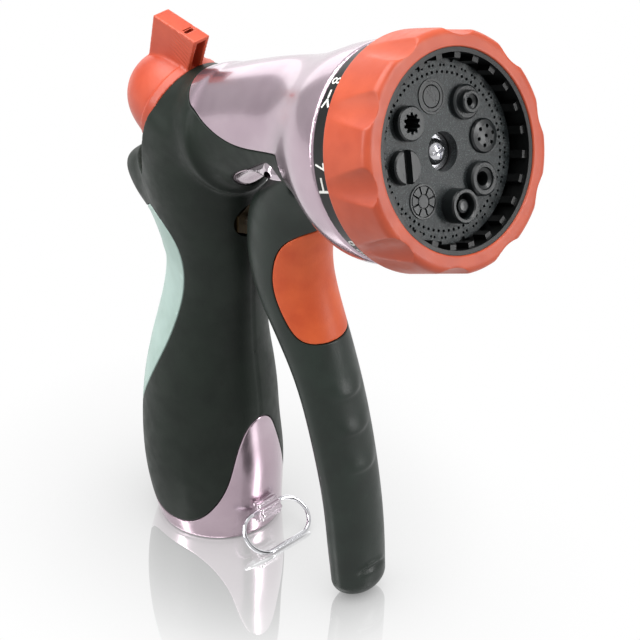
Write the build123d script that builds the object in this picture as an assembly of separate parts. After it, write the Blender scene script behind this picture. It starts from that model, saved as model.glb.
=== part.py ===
from build123d import *
from math import cos, sin, radians, hypot
import os

# Hose spray nozzle: hollow body with an over-moulded grip, a sprung front trigger, a flow knob at the
# back and a turning dial with eight outlets. Millimetres; +X is the spray side, +Z is up, and the
# origin is the centre of the hose inlet's mouth, on the flat base.

# --- driving dimensions ---
BARREL_TILT = 22.62          # rise of the barrel above horizontal, degrees
FACE_X, FACE_Z = 97.4, 168.8  # centre of the dial's front rim
SKIN = 1.8                   # thickness of the soft grip over the body core
RUN = 0.05                   # radial running clearance
SPRUNG_GAP = 0.1             # rest clearance between trigger and valve stem

# handle cross-sections: height, centre x, half depth, half width
HANDLE = [(0, 0, 19.3, 19.3), (12, -1.8, 21.6, 20.6), (23, -2.6, 22.6, 21.0), (34, -3.3, 22.4, 20.4),
          (46, -3.1, 21.8, 19.4), (57, -2.6, 20.3, 18.0), (65, -2.1, 18.9, 16.6), (75, -1.0, 17.3, 15.0),
          (85, -0.1, 16.3, 13.6), (95, 0.0, 16.4, 13.5), (105, -2.0, 17.8, 14.6), (115, -3.4, 19.2, 16.2),
          (125, -3.5, 20.4, 17.2), (135, -2.5, 19.5, 17.3), (142, -1.5, 16.0, 17.2)]
# beavertail behind the hand, in the same terms
SPUR = [(97, -10, 6.0, 8.0), (102, -12, 13.0, 8.5), (105.5, -12, 19.5, 9.0), (108.5, -12, 22.6, 9.4),
        (112, -12, 24.0, 9.8), (116, -12, 22.0, 10.2), (120, -12, 17.4, 10.6), (125, -12, 12.0, 11.0)]
# barrel cross-sections: distance behind the rim, height of centre over the dial axis, radius
BARREL = [(24, 0.0, 31.3), (34, 0.5, 30.0), (42, 3.0, 26.0), (50, 6.0, 22.0), (60, 8.5, 19.5),
          (75, 9.5, 18.0), (95, 8.5, 17.5)]
# water space inside the barrel, in the same terms
BARREL_CAVITY = [(27.5, 0.3, 28.0), (34, 1.0, 26.5), (42, 3.8, 21.5), (50, 11.0, 12.0), (60, 13.0, 9.6),
                 (75, 12.5, 7.6), (88, 10.0, 7.0)]
CAVITY_WALL = 3.0            # wall of the body core round the handle's water space
CAVITY_BOTTOM, CAVITY_TOP = 18.0, 97.0

# hose inlet, 3/4-11.5 NH female
THREAD_CREST_R, THREAD_ROOT_R = 12.3, 13.6
THREAD_PITCH, THREAD_TURNS = 2.209, 5
SOCKET_DEPTH, WASHER_SEAT = 13.0, 16.0
WASHER_R, WASHER_HOLE_R = 13.5, 8.0
SCREEN_R, SCREEN_T = 11.0, 0.8

# trigger: height, centre x, half depth, half width
TRIGGER = [(6.4, 61.1, 6.8, 9.5), (17.7, 60.1, 7.2, 9.9), (31.8, 58.5, 7.3, 10.1), (45.3, 55.9, 7.4, 10.4),
           (58.2, 52.6, 7.6, 10.7), (73.6, 47.2, 8.6, 10.9), (87, 40.4, 11.1, 11.2), (97, 35.3, 12.8, 11.4),
           (108, 32.5, 13.4, 11.4), (118, 32.7, 13.7, 11.5), (128, 34.8, 12.9, 11.4), (135, 39.0, 11.2, 11.2),
           (140, 42.4, 9.0, 10.8)]
PIVOT_X, PIVOT_Z = 46.0, 139.5
TRIGGER_CAP_H = 4.6          # height of the rounded top over the highest section
TRIGGER_WALL = 4.5           # front wall of the channel-shaped lever
CHANNEL_HALF = 7.6
PIN_R, PIN_HALF = 2.5, 11.2
KNUCKLE_R, KNUCKLE_HALF = 6.0, 5.5
SHOULDER_R = 3.8             # ribs either side of the trigger's top
PAD_T = 1.6

# valve stem, straight back from the trigger
STEM_Z, STEM_R = 112.0, 2.0
PUSH_X = 26.0                # trigger's push face
CHAMBER_R, CHAMBER_BACK, CHAMBER_FRONT = 6.5, -16.0, 1.0
POPPET_R, POPPET_T = 5.6, 2.5
SEAT_HOLE_R = 3.6

# flow knob, pointing back and up
KNOB_X, KNOB_Z, KNOB_TILT = -10.9, 139.8, 17.8
KNOB_R, KNOB_FLANGE = 15.0, 3.0
FIN_HALF = 3.0
SPOOL_R, SPOOL_L = 7.0, 24.0

# dial
RIM_R, CUP_R, CUP_WALL = 28.0, 27.9, 1.3
BUMPER_R, BUMPER_BACK = 33.3, 17.8
LOBES, NOTCH_DEPTH, NOTCH_R, NOTCH_START = 10, 2.2, 10.5, 22.0
BAND_R, DIAL_BACK = 31.0, 23.85
PLATE_FRONT, PLATE_BACK, PLATE_R = 6.5, 9.0, 25.0
OUTLETS, OUTLET_PCR, OUTLET_R, FIRST_OUTLET = 8, 15.3, 4.8, 4.5
SPINDLE_R, HUB_R, SCREW_WELL_R = 4.0, 7.0, 5.4
SHOULDER = 11.0              # hub shoulder behind the rim
SCREW_R, SCREW_HEAD_R = 1.9, 3.7
WASHER_BACK = 0.1 - SHOULDER  # in the dial frame, with a small gap to the shoulder
WASHER_FACE = WASHER_BACK + 0.9
BODY_FRONT = 24.0

# lock ring
RING_X, RING_Z, RING_TILT = 20.7, 9.0, 40.0
RING_WIRE_R, RING_END_R, RING_STRAIGHT = 0.7, 6.37, 12.2
LUG_R, LUG_HALF = 3.0, 4.3

BARREL_AXIS = Vector(cos(radians(BARREL_TILT)), 0, sin(radians(BARREL_TILT)))
KNOB_AXIS = Vector(-cos(radians(KNOB_TILT)), 0, sin(radians(KNOB_TILT)))
# dial frame: x is +Y, y is up, z is out of the face; knob frame: y is up, z is out of the knob
DIAL = Plane(origin=(FACE_X, 0, FACE_Z), x_dir=(0, 1, 0), z_dir=BARREL_AXIS)
KNOB = Plane(origin=(KNOB_X, 0, KNOB_Z), x_dir=(0, -1, 0), z_dir=KNOB_AXIS)
BARREL_LINE = Axis((FACE_X, 0, FACE_Z), (BARREL_AXIS.X, 0, BARREL_AXIS.Z))


def circle_at(frame, x, y, z, radius):
    """A circle sketch at x, y, z of a frame, facing along the frame's z."""
    return frame.location * Pos(x, y, z) * Circle(radius)


def rod(frame, x, y, z_low, z_high, radius):
    """A cylinder along a frame's z, between two heights."""
    height = z_high - z_low
    return frame.location * Pos(x, y, z_low + height / 2) * Cylinder(radius, height)


def rod_y(x, z, half, radius):
    """A cylinder along Y through x, z."""
    return Pos(x, 0, z) * Rot(90, 0, 0) * Cylinder(radius, 2 * half)


def rod_x(x_low, x_high, z, radius):
    """A cylinder along X at y 0."""
    return Pos((x_low + x_high) / 2, 0, z) * Rot(0, 90, 0) * Cylinder(radius, x_high - x_low)


def outlet_place(index):
    """x and y of an outlet's centre in the dial frame; the angle runs from up towards +Y."""
    angle = radians(FIRST_OUTLET + index * 360 / OUTLETS)
    return OUTLET_PCR * sin(angle), OUTLET_PCR * cos(angle)


def side_region(points, half=60):
    """A closed smooth side-view outline, extruded across the whole width."""
    outline = make_face(Spline([Vector(x, 0, z) for x, z in points], periodic=True))
    return extrude(outline, amount=half, dir=(0, 1, 0), both=True)


def side_polygon(points, half):
    """A straight-sided side-view outline, extruded to +-half in Y."""
    outline = make_face(Polyline([Vector(x, 0, z) for x, z in points], close=True))
    return extrude(outline, amount=half, dir=(0, 1, 0), both=True)


def dial_to_side(back, height):
    """x, z of a point given by its distance behind the rim and height over the dial axis."""
    point = DIAL.origin - BARREL_AXIS * back + DIAL.y_dir * height
    return point.X, point.Z


# --- body, grip and pad ---
def handle_volume(inset):
    sections = []
    for z, x, a, b in HANDLE:
        sections.append(Pos(x, 0, z) * Ellipse(a - inset, b - inset))
    return loft(sections)


def barrel_volume(sections, inset):
    return loft([circle_at(DIAL, 0, h, -s, r - inset) for s, h, r in sections])


def rear_volume(inset):
    last_s, last_h, last_r = BARREL[-1]
    front = circle_at(DIAL, 0, last_h, -last_s, last_r - inset)
    back = circle_at(KNOB, 0, 0, 0, KNOB_R + 0.2 - inset)
    return loft([back, front])


def outer_volume(inset=0):
    """Whole outside of the nozzle behind the dial, drawn in by an inset."""
    return handle_volume(inset) + barrel_volume(BARREL, inset) + rear_volume(inset)


def spur_volume():
    """Beavertail over the hand, behind the top of the handle."""
    return loft([Pos(x, 0, z) * Ellipse(a, b) for z, x, a, b in SPUR])


def knob_side_cut():
    """Everything behind the plane where the knob sits."""
    return KNOB.location * Pos(0, 0, 40) * Box(120, 46, 80)


def tongue(points, x_low, x_high):
    """Front-view outline, mirrored in Y, of the bare metal left at the foot; extruded along X."""
    outline = [(y, z) for y, z in points] + [(-y, z) for y, z in reversed(points) if y > 0]
    curve = Spline([Vector(x_low, y, z) for y, z in outline])
    floor = Polyline([curve @ 1, Vector(x_low, -30, -9), Vector(x_low, 30, -9), curve @ 0])
    return extrude(make_face([curve, floor]), amount=x_high - x_low, dir=(1, 0, 0))


def grip_region():
    """The soft grip's zone: the handle above its foot, and the rear underside of the barrel."""
    edge = [(97, 28.0), (94.4, 24.7), (91.3, 21.5), (87.5, 18.0), (82.4, 14.4), (76.6, 11.1), (70.1, 8.7),
            (63.0, 7.7), (48.5, 7.4)]
    top = [dial_to_side(s, h) for s, h in edge]
    upper = Spline([Vector(x, 0, z) for x, z in top])
    crown = dial_to_side(97.5, 40)
    below = dial_to_side(52.0, -30)
    around = Polyline([upper @ 1, Vector(below[0], 0, below[1]), Vector(40, 0, -5), Vector(-60, 0, -5),
                       Vector(-60, 0, 190), Vector(crown[0], 0, crown[1]), upper @ 0])
    side = extrude(make_face([upper, around]), amount=60, dir=(0, 1, 0), both=True)
    front = tongue([(26, 4.0), (22, 4.0), (19.7, 5.0), (17.8, 7.2), (15.6, 11.1), (13.6, 15.6), (11.8, 20.7),
                    (10.2, 26.3), (8.7, 31.3), (6.9, 36.2), (4.2, 40.6), (0, 42.6)], -2, 40)
    rear = tongue([(26, 4.0), (22, 4.0), (19.3, 4.8), (16.5, 7.5), (13.0, 12.5), (9.0, 19), (4.5, 24.5),
                   (0, 26.5)], -40, -1.9)
    return side - front - rear


def palm_region():
    """Side view of the palm pad, low on the handle's back."""
    edge = [(-30, 96), (-22, 103.5), (-14.5, 109), (-7.2, 107.4), (-0.8, 99.8), (0.6, 91), (-0.4, 81),
            (-3.0, 71), (-7.2, 60.5), (-15.6, 44.2), (-21, 36), (-28, 30)]
    front = Spline([Vector(x, 0, z) for x, z in edge])
    back = Polyline([front @ 1, Vector(-60, 0, 30), Vector(-60, 0, 96), front @ 0])
    return extrude(make_face([front, back]), amount=60, dir=(0, 1, 0), both=True)


def trigger_room():
    """Space the trigger's rounded top swings in, cut through the underside of the barrel."""
    outline = [(18.8, 122), (20.2, 130), (24.6, 136.2), (30.4, 140.6), (37.0, 144.4), (44.0, 146.4),
               (50.2, 145.4), (53.0, 141.6), (54.0, 136), (57, 126), (40, 118), (24, 117)]
    return side_region(outline, 20)


def knuckle():
    """Lug under the barrel that carries the trigger pin."""
    neck = Pos(PIVOT_X, 0, PIVOT_Z + 4) * Box(2 * KNUCKLE_R, 2 * KNUCKLE_HALF, 8)
    return neck + rod_y(PIVOT_X, PIVOT_Z, KNUCKLE_HALF, KNUCKLE_R)


def hinge_shoulders():
    """Rounded ribs that frame the trigger's top on both flanks of the barrel."""
    shoulders = []
    for side in (-1, 1):
        start, end = Vector(27.4, 10.4 * side, 135.2), Vector(43.4, 15.4 * side, 147.6)
        rise = (end - start).length
        bar = Plane(origin=start, z_dir=end - start).location * Pos(0, 0, rise / 2)
        shoulders.append(bar * Cylinder(SHOULDER_R, rise))
        shoulders.append(Pos(start.X, start.Y, start.Z) * Sphere(SHOULDER_R))
        shoulders.append(Pos(end.X, end.Y, end.Z) * Sphere(SHOULDER_R))
    return shoulders


def ring_lug():
    """Ribbed lug on the foot that carries the lock ring."""
    lug = rod_y(RING_X, RING_Z, LUG_HALF, LUG_R)
    lug += Pos(RING_X - 3, 0, RING_Z) * Box(6, 2 * LUG_HALF, 2 * LUG_R - 1)
    for flute in range(10):
        angle = radians(36 * flute)
        lug += rod_y(RING_X + LUG_R * cos(angle), RING_Z + LUG_R * sin(angle), LUG_HALF, 0.55)
    return lug


def inlet_space():
    """Threaded socket, washer seat and the water space of the handle."""
    socket = Pos(0, 0, SOCKET_DEPTH / 2) * Cylinder(THREAD_CREST_R, SOCKET_DEPTH)
    groove_half = THREAD_PITCH * 0.38
    for turn in range(THREAD_TURNS):
        z = 1.6 + turn * THREAD_PITCH
        corners = [(THREAD_CREST_R - 0.3, z - groove_half), (THREAD_ROOT_R, z - 0.12),
                   (THREAD_ROOT_R, z + 0.12), (THREAD_CREST_R - 0.3, z + groove_half)]
        profile = make_face(Polyline([Vector(r, 0, h) for r, h in corners], close=True))
        socket += revolve(profile, Axis.Z)
    seat = Pos(0, 0, (SOCKET_DEPTH + WASHER_SEAT) / 2) * Cylinder(WASHER_R, WASHER_SEAT - SOCKET_DEPTH)
    neck = Pos(0, 0, WASHER_SEAT + 1.5) * Cylinder(SCREEN_R, 3)
    sections = []
    for z, x, a, b in HANDLE:
        if CAVITY_BOTTOM < z < CAVITY_TOP:
            sections.append(Pos(x, 0, z) * Ellipse(a - SKIN - CAVITY_WALL, b - SKIN - CAVITY_WALL))
    first = Pos(-1.5, 0, CAVITY_BOTTOM) * Ellipse(SCREEN_R, SCREEN_R)
    return socket + seat + neck + loft([first] + sections)


def valve_space():
    """Valve chamber, its seat hole, the gland in front and the way up to the flow spool."""
    chamber = rod_x(CHAMBER_BACK, CHAMBER_FRONT, STEM_Z, CHAMBER_R)
    seat = rod_x(CHAMBER_FRONT - 1, 9, STEM_Z, SEAT_HOLE_R)
    gland = rod_x(8.5, 10.7, STEM_Z, 3.9) + rod_x(10.6, 30, STEM_Z, 5.45)
    inlet = Pos(-6, 0, (CAVITY_TOP + STEM_Z) / 2 - 2) * Cylinder(5, STEM_Z - CAVITY_TOP + 4)
    riser = Pos(3.6, 0, 123.5) * Rot(0, -14.9, 0) * Cylinder(2.8, 18)
    return chamber + seat + gland + inlet + riser


def spool_space():
    bore = rod(KNOB, 0, 0, -SPOOL_L - 1, 1, SPOOL_R + RUN)
    clip_groove = rod(KNOB, 0, 0, -2.6, -1.4, SPOOL_R + 1.2)
    link = Pos(8.5, 0, 143.8) * Rot(0, 62, 0) * Cylinder(3.6, 16)
    return bore + clip_groove + link


def port_boss():
    """Sleeve behind the front wall, round the port that feeds the chosen outlet."""
    return rod(DIAL, 0, OUTLET_PCR, -33.5, -BODY_FRONT, 7.6)


def front_space():
    """Openings in the body's front wall: port, seal seat, click spring pocket."""
    seat = rod(DIAL, 0, OUTLET_PCR, -31.6, -BODY_FRONT + 1, 5.7)
    port = rod(DIAL, 0, OUTLET_PCR, -40, -31, 3.0)
    pocket = DIAL.location * Pos(0, -22, -BODY_FRONT - 1.1) * Box(14.6, 5.4, 2.2 + 0.001)
    return seat + port + pocket


def spindle():
    """Post the dial turns on, threaded for the face screw."""
    post = rod(DIAL, 0, 0, -32, -SHOULDER + 0.1, SPINDLE_R)
    return post + rod(DIAL, 0, 0, -32, -BODY_FRONT, 7.5)


def screw_thread_space():
    return rod(DIAL, 0, 0, -24, -SHOULDER + 1, SCREW_R)


def body_and_covers():
    """The cast body, its soft grip and its palm pad, which share one outside surface."""
    outside = outer_volume()
    core = outer_volume(SKIN)
    grip_zone = grip_region()
    palm_zone = palm_region()
    behind_knob = knob_side_cut()
    room = trigger_room()
    gland_hole = rod_x(8.5, 30, STEM_Z, 5.5)
    skin = outside - core
    palm = (skin & palm_zone) - behind_knob
    spur = (spur_volume() - core) - palm_zone
    grip = (skin & grip_zone) - palm_zone
    grip = (grip + spur) - behind_knob - room - gland_hole - hinge_shoulders()
    body = core + (outside - grip_zone - palm_zone)
    body = body - barrel_volume(BARREL_CAVITY, 0)
    body = body + port_boss() + spindle() + ring_lug() + hinge_shoulders()
    body = (body - room + knuckle()) - barrel_volume(BARREL_CAVITY[3:], 0)
    body = body - inlet_space() - valve_space() - spool_space() - front_space() - screw_thread_space()
    body = body - rod_y(PIVOT_X, PIVOT_Z, 20, PIN_R) - rod_y(RING_X, RING_Z, 12, RING_WIRE_R + 0.06)
    return body - behind_knob, grip, palm


# --- hose inlet ---
def hose_washer():
    z = (SOCKET_DEPTH + WASHER_SEAT) / 2
    ring = Pos(0, 0, z) * Cylinder(WASHER_R, WASHER_SEAT - SOCKET_DEPTH)
    return ring - Pos(0, 0, z) * Cylinder(WASHER_HOLE_R, 10)


def filter_screen():
    """Perforated disc with a rim, resting on the washer."""
    disc = Pos(0, 0, WASHER_SEAT + SCREEN_T / 2) * Cylinder(SCREEN_R - 0.1, SCREEN_T)
    holes = []
    pitch = 2.0
    for row in range(-4, 5):
        for column in range(-4, 5):
            x = (column + 0.5 * (row % 2)) * pitch
            y = row * pitch * 0.87
            if hypot(x, y) < 7.8:
                holes.append(Pos(x, y, WASHER_SEAT) * Cylinder(0.65, 4))
    rim = Pos(0, 0, WASHER_SEAT + 1.1) * Cylinder(SCREEN_R - 0.1, 2.2)
    rim -= Pos(0, 0, WASHER_SEAT + 1.1) * Cylinder(SCREEN_R - 1.6, 4)
    return (disc - holes) + rim


# --- trigger ---
def trigger_volume():
    """Solid outside of the lever, rounded over at the tip and above the pivot."""
    lever = loft([Pos(x, 0, z) * Ellipse(a, b) for z, x, a, b in TRIGGER])
    z, x, a, b = TRIGGER[0]
    tip = Pos(x, 0, z) * scale(Sphere(1), by=(a, b, z - 0.3))
    z, x, a, b = TRIGGER[-1]
    cap = Pos(x, 0, z) * scale(Sphere(1), by=(a, b, TRIGGER_CAP_H))
    return lever + tip + cap


def pad_bed():
    """Inner face of the pad: the lever's upper sections, drawn in by the pad's thickness."""
    sections = [row for row in TRIGGER if row[0] > 50]
    return loft([Pos(x, 0, z) * Ellipse(a - PAD_T, b - PAD_T) for z, x, a, b in sections])


def trigger_channel():
    """Open back of the lever, between its cheeks."""
    front = [(x + a - TRIGGER_WALL, z) for z, x, a, b in TRIGGER if z < PIVOT_Z]
    front[0] = (front[0][0], 9.0)
    outline = [(0, 9.0)] + front + [(0, front[-1][1])]
    channel = side_polygon(outline, CHANNEL_HALF)
    rib = Pos(PUSH_X + 10, 0, STEM_Z) * Box(20, 6, 10)
    return channel - rib


def knuckle_slot():
    """Slot in the lever's top for the knuckle and its neck."""
    half = KNUCKLE_HALF + 0.3
    reach = KNUCKLE_R + 0.9
    around = rod_y(PIVOT_X, PIVOT_Z, half, reach + 0.4)
    above = Pos(PIVOT_X - 1, 0, PIVOT_Z + 10) * Box(2 * reach + 4, 2 * half, 20)
    behind = Pos(PIVOT_X - 12, 0, PIVOT_Z + 1) * Box(24, 2 * half, 18)
    return around + above + behind


def pad_region():
    """Side view of the trigger pad on the front of the lever."""
    outline = [(36.1, 107.5), (37.1, 112.8), (39.3, 117.3), (43.5, 121.2), (50, 123.3), (57, 122), (62, 112),
               (64, 98), (60, 88), (53, 86.6), (46.5, 87.6), (41, 93), (37.8, 98.5), (36.3, 103)]
    return side_region(outline)


def trigger_parts():
    solid = trigger_volume()
    pad = (solid & pad_region()) - pad_bed()
    lever = solid - pad - trigger_channel() - knuckle_slot()
    lever = lever - rod_y(PIVOT_X, PIVOT_Z, 20, PIN_R + RUN)
    lever = lever - rod_y(54.6, 12.5, 20, 1.7)
    pad = pad - knuckle_slot() - trigger_channel()
    return lever, pad


def trigger_pin():
    """Hinge pin with softly domed ends."""
    half = [(0, PIN_HALF), (1.2, PIN_HALF - 0.15), (2.0, PIN_HALF - 0.6), (PIN_R, PIN_HALF - 1.2)]
    outline = half + [(r, -y) for r, y in reversed(half)]
    face = make_face(Polyline([Vector(r, y, 0) for r, y in outline], close=True))
    return Pos(PIVOT_X, 0, PIVOT_Z) * revolve(face, Axis.Y)


# --- valve ---
def valve_stem():
    """Turned stem with a rounded tip and the poppet's backing disc."""
    tip = PUSH_X - SPRUNG_GAP
    poppet = CHAMBER_FRONT - POPPET_T - 0.05
    outline = Polyline([(poppet - 2.5, 0), (poppet - 2.5, STEM_R), (poppet - 2, STEM_R),
                        (poppet - 2, POPPET_R), (poppet, POPPET_R), (poppet, STEM_R), (tip - 1.2, STEM_R),
                        (tip - 0.4, STEM_R * 0.7), (tip, STEM_R * 0.2), (tip, 0)], close=True)
    return Pos(0, 0, STEM_Z) * revolve(make_face(outline), Axis.X)


def valve_seal():
    """Rubber face of the poppet."""
    back = CHAMBER_FRONT - POPPET_T - 0.05
    return rod_x(back, CHAMBER_FRONT - 0.05, STEM_Z, POPPET_R) - rod_x(back - 1, 9, STEM_Z, STEM_R)


def coil(radius, wire, length, turns):
    """A compression spring along +Z from the origin, with its wire inside the length."""
    path = Helix(pitch=(length - 2 * wire) / turns, height=length - 2 * wire, radius=radius)
    start = Plane(origin=path @ 0, z_dir=path % 0)
    return Pos(0, 0, wire) * sweep(start * Circle(wire), path=path)


def valve_spring():
    back = CHAMBER_BACK + 0.1
    front = CHAMBER_FRONT - POPPET_T - 2.1
    return Pos(back, 0, STEM_Z) * Rot(0, 90, 0) * coil(4.6, 0.55, front - back, 6)


def packing_nut():
    """Hexagon gland nut round the stem, sunk in the front of the handle."""
    nut = rod_x(10.6, 13.4, STEM_Z, 5.4)
    nose = Pos(13.4, 0, STEM_Z) * Rot(0, 90, 0) * extrude(RegularPolygon(5.2, 6), amount=2.0)
    return nut + nose - rod_x(0, 40, STEM_Z, STEM_R + RUN)


def stem_seal():
    """O-ring squeezed between the gland and the nut."""
    return Pos(9.6, 0, STEM_Z) * Rot(0, 90, 0) * Torus(STEM_R + RUN + 0.9, 0.9)


# --- flow control ---
def flow_knob():
    """Domed knob with a flange and a hollow radial fin to turn it by."""
    start = 0.15
    side = Polyline([Vector(0, 0, start), Vector(KNOB_R, 0, start), Vector(KNOB_R, 0, KNOB_FLANGE),
                     Vector(KNOB_R - 0.5, 0, KNOB_FLANGE + 0.4)])
    dome = Spline([Vector(KNOB_R - 0.5, 0, KNOB_FLANGE + 0.4), Vector(13.6, 0, 8), Vector(12.0, 0, 12.2),
                   Vector(9.2, 0, 15.8), Vector(5, 0, 18.4), Vector(0, 0, 19.3)])
    base = revolve(make_face([side, dome, Line((0, 0, 19.3), (0, 0, start))]), Axis.Z)
    fin_side = [(0.3, 26.0), (0.3, 13.0), (4.0, 6.0), (12.0, 4.0), (16.0, 8.6), (17.8, 22.8)]
    fin = extrude(make_face(Polyline([Vector(0, u, k) for k, u in fin_side], close=True)),
                  amount=FIN_HALF, dir=(1, 0, 0), both=True)
    fin = fillet(fin.edges().filter_by(Axis.X), 0.8)
    fin = fin - Pos(0, 19.1, 3) * Box(3.4, 11.2, 8)
    for groove in range(4):
        for side_sign in (-1, 1):
            place = Pos(side_sign * FIN_HALF, 23.2 - 1.5 * groove, 5.0) * Rot(10.4, 0, 0)
            fin -= place * Box(0.5, 0.5, 8.5)
    return KNOB.location * (base + fin) - rod(KNOB, 0, 0, -20, 7.0, 4.0)


def flow_spool():
    """Rotary plug: the knob turns its cross hole across the water path."""
    plug = rod(KNOB, 0, 0, -SPOOL_L, -2.8, SPOOL_R)
    neck = rod(KNOB, 0, 0, -2.8, 6.9, 4.0)
    groove = rod(KNOB, 0, 0, -7.0, -5.0, SPOOL_R + 1) - rod(KNOB, 0, 0, -8, -4, 5.15)
    cross = KNOB.location * Pos(0, 0, -13.6) * Rot(90, 0, 0) * Cylinder(3.4, 20)
    return plug + neck - groove - cross


def spool_oring():
    return KNOB.location * Pos(0, 0, -6.0) * Torus(6.05, 0.9)


def spool_circlip():
    """Retaining ring that holds the spool in its bore."""
    ring = rod(KNOB, 0, 0, -2.5, -1.5, SPOOL_R + 1.1) - rod(KNOB, 0, 0, -3, 0, 4.6)
    gap = KNOB.location * Pos(0, -6.5, -2) * Box(3.4, 6, 3)
    return ring - gap


# --- dial ---
def turret_shell():
    """Black cup of the dial: wall, ribs, back wall with ports, hub and outlet tubes."""
    cup = rod(DIAL, 0, 0, -DIAL_BACK, -0.5, CUP_R)
    cup -= rod(DIAL, 0, 0, -DIAL_BACK + 2.6, 1, CUP_R - CUP_WALL)
    cup += rod(DIAL, 0, 0, -DIAL_BACK, -PLATE_BACK, HUB_R)
    ledge = rod(DIAL, 0, 0, -PLATE_BACK - 2, -PLATE_BACK, CUP_R - 0.5)
    cup += ledge - rod(DIAL, 0, 0, -20, 0, 23.6)
    rib = Pos(0, CUP_R - CUP_WALL - 0.5, -(PLATE_FRONT + 1.6) / 2) * Box(2.2, 2.2, PLATE_FRONT - 1.6)
    cup += [DIAL.location * Rot(0, 0, 7.5 + 15 * k) * rib for k in range(24)]
    for index in range(OUTLETS):
        x, y = outlet_place(index)
        cup += rod(DIAL, x, y, -DIAL_BACK + 1, -PLATE_BACK, 4.2)
    for index in range(OUTLETS):
        x, y = outlet_place(index)
        cup -= rod(DIAL, x, y, -DIAL_BACK - 1, -PLATE_BACK + 1, 3.0)
        notch = Pos(0, -22, -DIAL_BACK) * Box(3.4, 6.0, 1.9)
        cup -= DIAL.location * Rot(0, 0, 45 * index) * notch
    cup -= rod(DIAL, 0, 0, -DIAL_BACK - 1, 0, SPINDLE_R + RUN)
    return cup - rod(DIAL, 0, 0, -SHOULDER, 0, SCREW_WELL_R)


def index_ring():
    """Band behind the bumper that carries the pattern marks."""
    ring = rod(DIAL, 0, 0, -DIAL_BACK + 0.15, -BUMPER_BACK, BAND_R)
    return ring - rod(DIAL, 0, 0, -30, 0, CUP_R)


def bumper_ring():
    """Soft lobed bumper round the dial."""
    profile = [(RIM_R - 0.1, -BUMPER_BACK), (BUMPER_R - 0.8, -BUMPER_BACK), (BUMPER_R, -BUMPER_BACK + 1.0),
               (BUMPER_R, -4.0), (BUMPER_R - 0.7, -1.2), (BUMPER_R - 2.0, 0.0), (RIM_R, 0.0),
               (RIM_R - 0.1, -0.4)]
    face = make_face(Polyline([Vector(r, 0, s) for r, s in profile], close=True))
    ring = revolve(face, Axis.Z)
    lean = 7.5
    for lobe in range(LOBES):
        angle = NOTCH_START + lobe * 360 / LOBES
        scoop = Pos(0, BUMPER_R - NOTCH_DEPTH + NOTCH_R, 0) * Rot(lean, 0, 0) * Cylinder(NOTCH_R, 60)
        ring -= Rot(0, 0, -angle) * scoop
    return DIAL.location * ring


def face_plate():
    """Dark plate with the shower holes, the eight outlet holes and rim notches."""
    plate = rod(DIAL, 0, 0, -PLATE_BACK, -PLATE_FRONT, PLATE_R)
    cuts = [rod(DIAL, 0, 0, -20, 0, SCREW_WELL_R)]
    for index in range(OUTLETS):
        x, y = outlet_place(index)
        cuts.append(rod(DIAL, x, y, -20, 0, OUTLET_R))
    for k in range(72):
        angle = radians(5 * k)
        cuts.append(rod(DIAL, 21.4 * sin(angle), 21.4 * cos(angle), -12, -4, 0.42))
    for k in range(36):
        for offset in (-1.6, 1.6):
            angle = radians(10 * k + offset)
            cuts.append(rod(DIAL, 23.2 * sin(angle), 23.2 * cos(angle), -12, -4, 0.38))
    for angle in (27, 5, 184, 204):
        cuts.append(DIAL.location * Rot(0, 0, -angle) * Pos(0, PLATE_R, -PLATE_FRONT) * Box(2.0, 1.6, 1.6))
    return plate - cuts


def ring_profile(points):
    """A turned insert from radius and height points, round the origin."""
    face = make_face(Polyline([Vector(r, 0, z) for r, z in points], close=True))
    return revolve(face, Axis.Z)


ROOT = PLATE_FRONT - PLATE_BACK    # back of every insert, counted from the plate's face


def outlet_full():
    """Flush disc with a fine ring-shaped slit."""
    return ring_profile([(0, ROOT), (OUTLET_R, ROOT), (OUTLET_R, 0.3), (OUTLET_R - 0.6, 0.3),
                         (OUTLET_R - 0.7, 0.1), (3.2, 0.1), (3.2, -1.6), (2.9, -1.6), (2.9, 0.1), (0, 0.1)])


def outlet_jet():
    return ring_profile([(1.1, ROOT), (OUTLET_R, ROOT), (OUTLET_R, 1.4), (4.3, 1.8), (3.2, 1.8),
                         (3.2, 3.4), (2.9, 3.8), (2.1, 3.8), (2.1, 3.0), (1.1, 2.6)])


def outlet_shower():
    dome = ring_profile([(0, ROOT), (OUTLET_R, ROOT), (OUTLET_R, 0.6), (4.4, 1.1), (3.0, 1.45), (0, 1.6)])
    holes = [Cylinder(0.55, 12)]
    for k in range(6):
        holes.append(Pos(2.7 * cos(radians(60 * k)), 2.7 * sin(radians(60 * k)), 0) * Cylinder(0.55, 12))
    return dome - holes


def outlet_stub():
    return ring_profile([(2.0, ROOT), (OUTLET_R, ROOT), (OUTLET_R, 1.9), (4.3, 2.4), (3.2, 2.4),
                         (3.0, 1.8), (2.0, 1.4)])


def outlet_cone():
    """Tall cup with a centre pin held by three vanes."""
    cup = ring_profile([(3.4, ROOT), (OUTLET_R, ROOT), (OUTLET_R, 4.0), (4.5, 4.6), (3.7, 4.6), (3.4, 4.2)])
    pin = ring_profile([(0, ROOT), (1.0, ROOT), (1.0, 2.0), (1.9, 2.6), (1.9, 3.4), (1.3, 3.7), (0, 3.8)])
    for k in range(3):
        pin += Rot(0, 0, 30 + 120 * k) * Pos(2.2, 0, -0.8) * Box(3.2, 0.8, 3.0)
    return cup + pin


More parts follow.
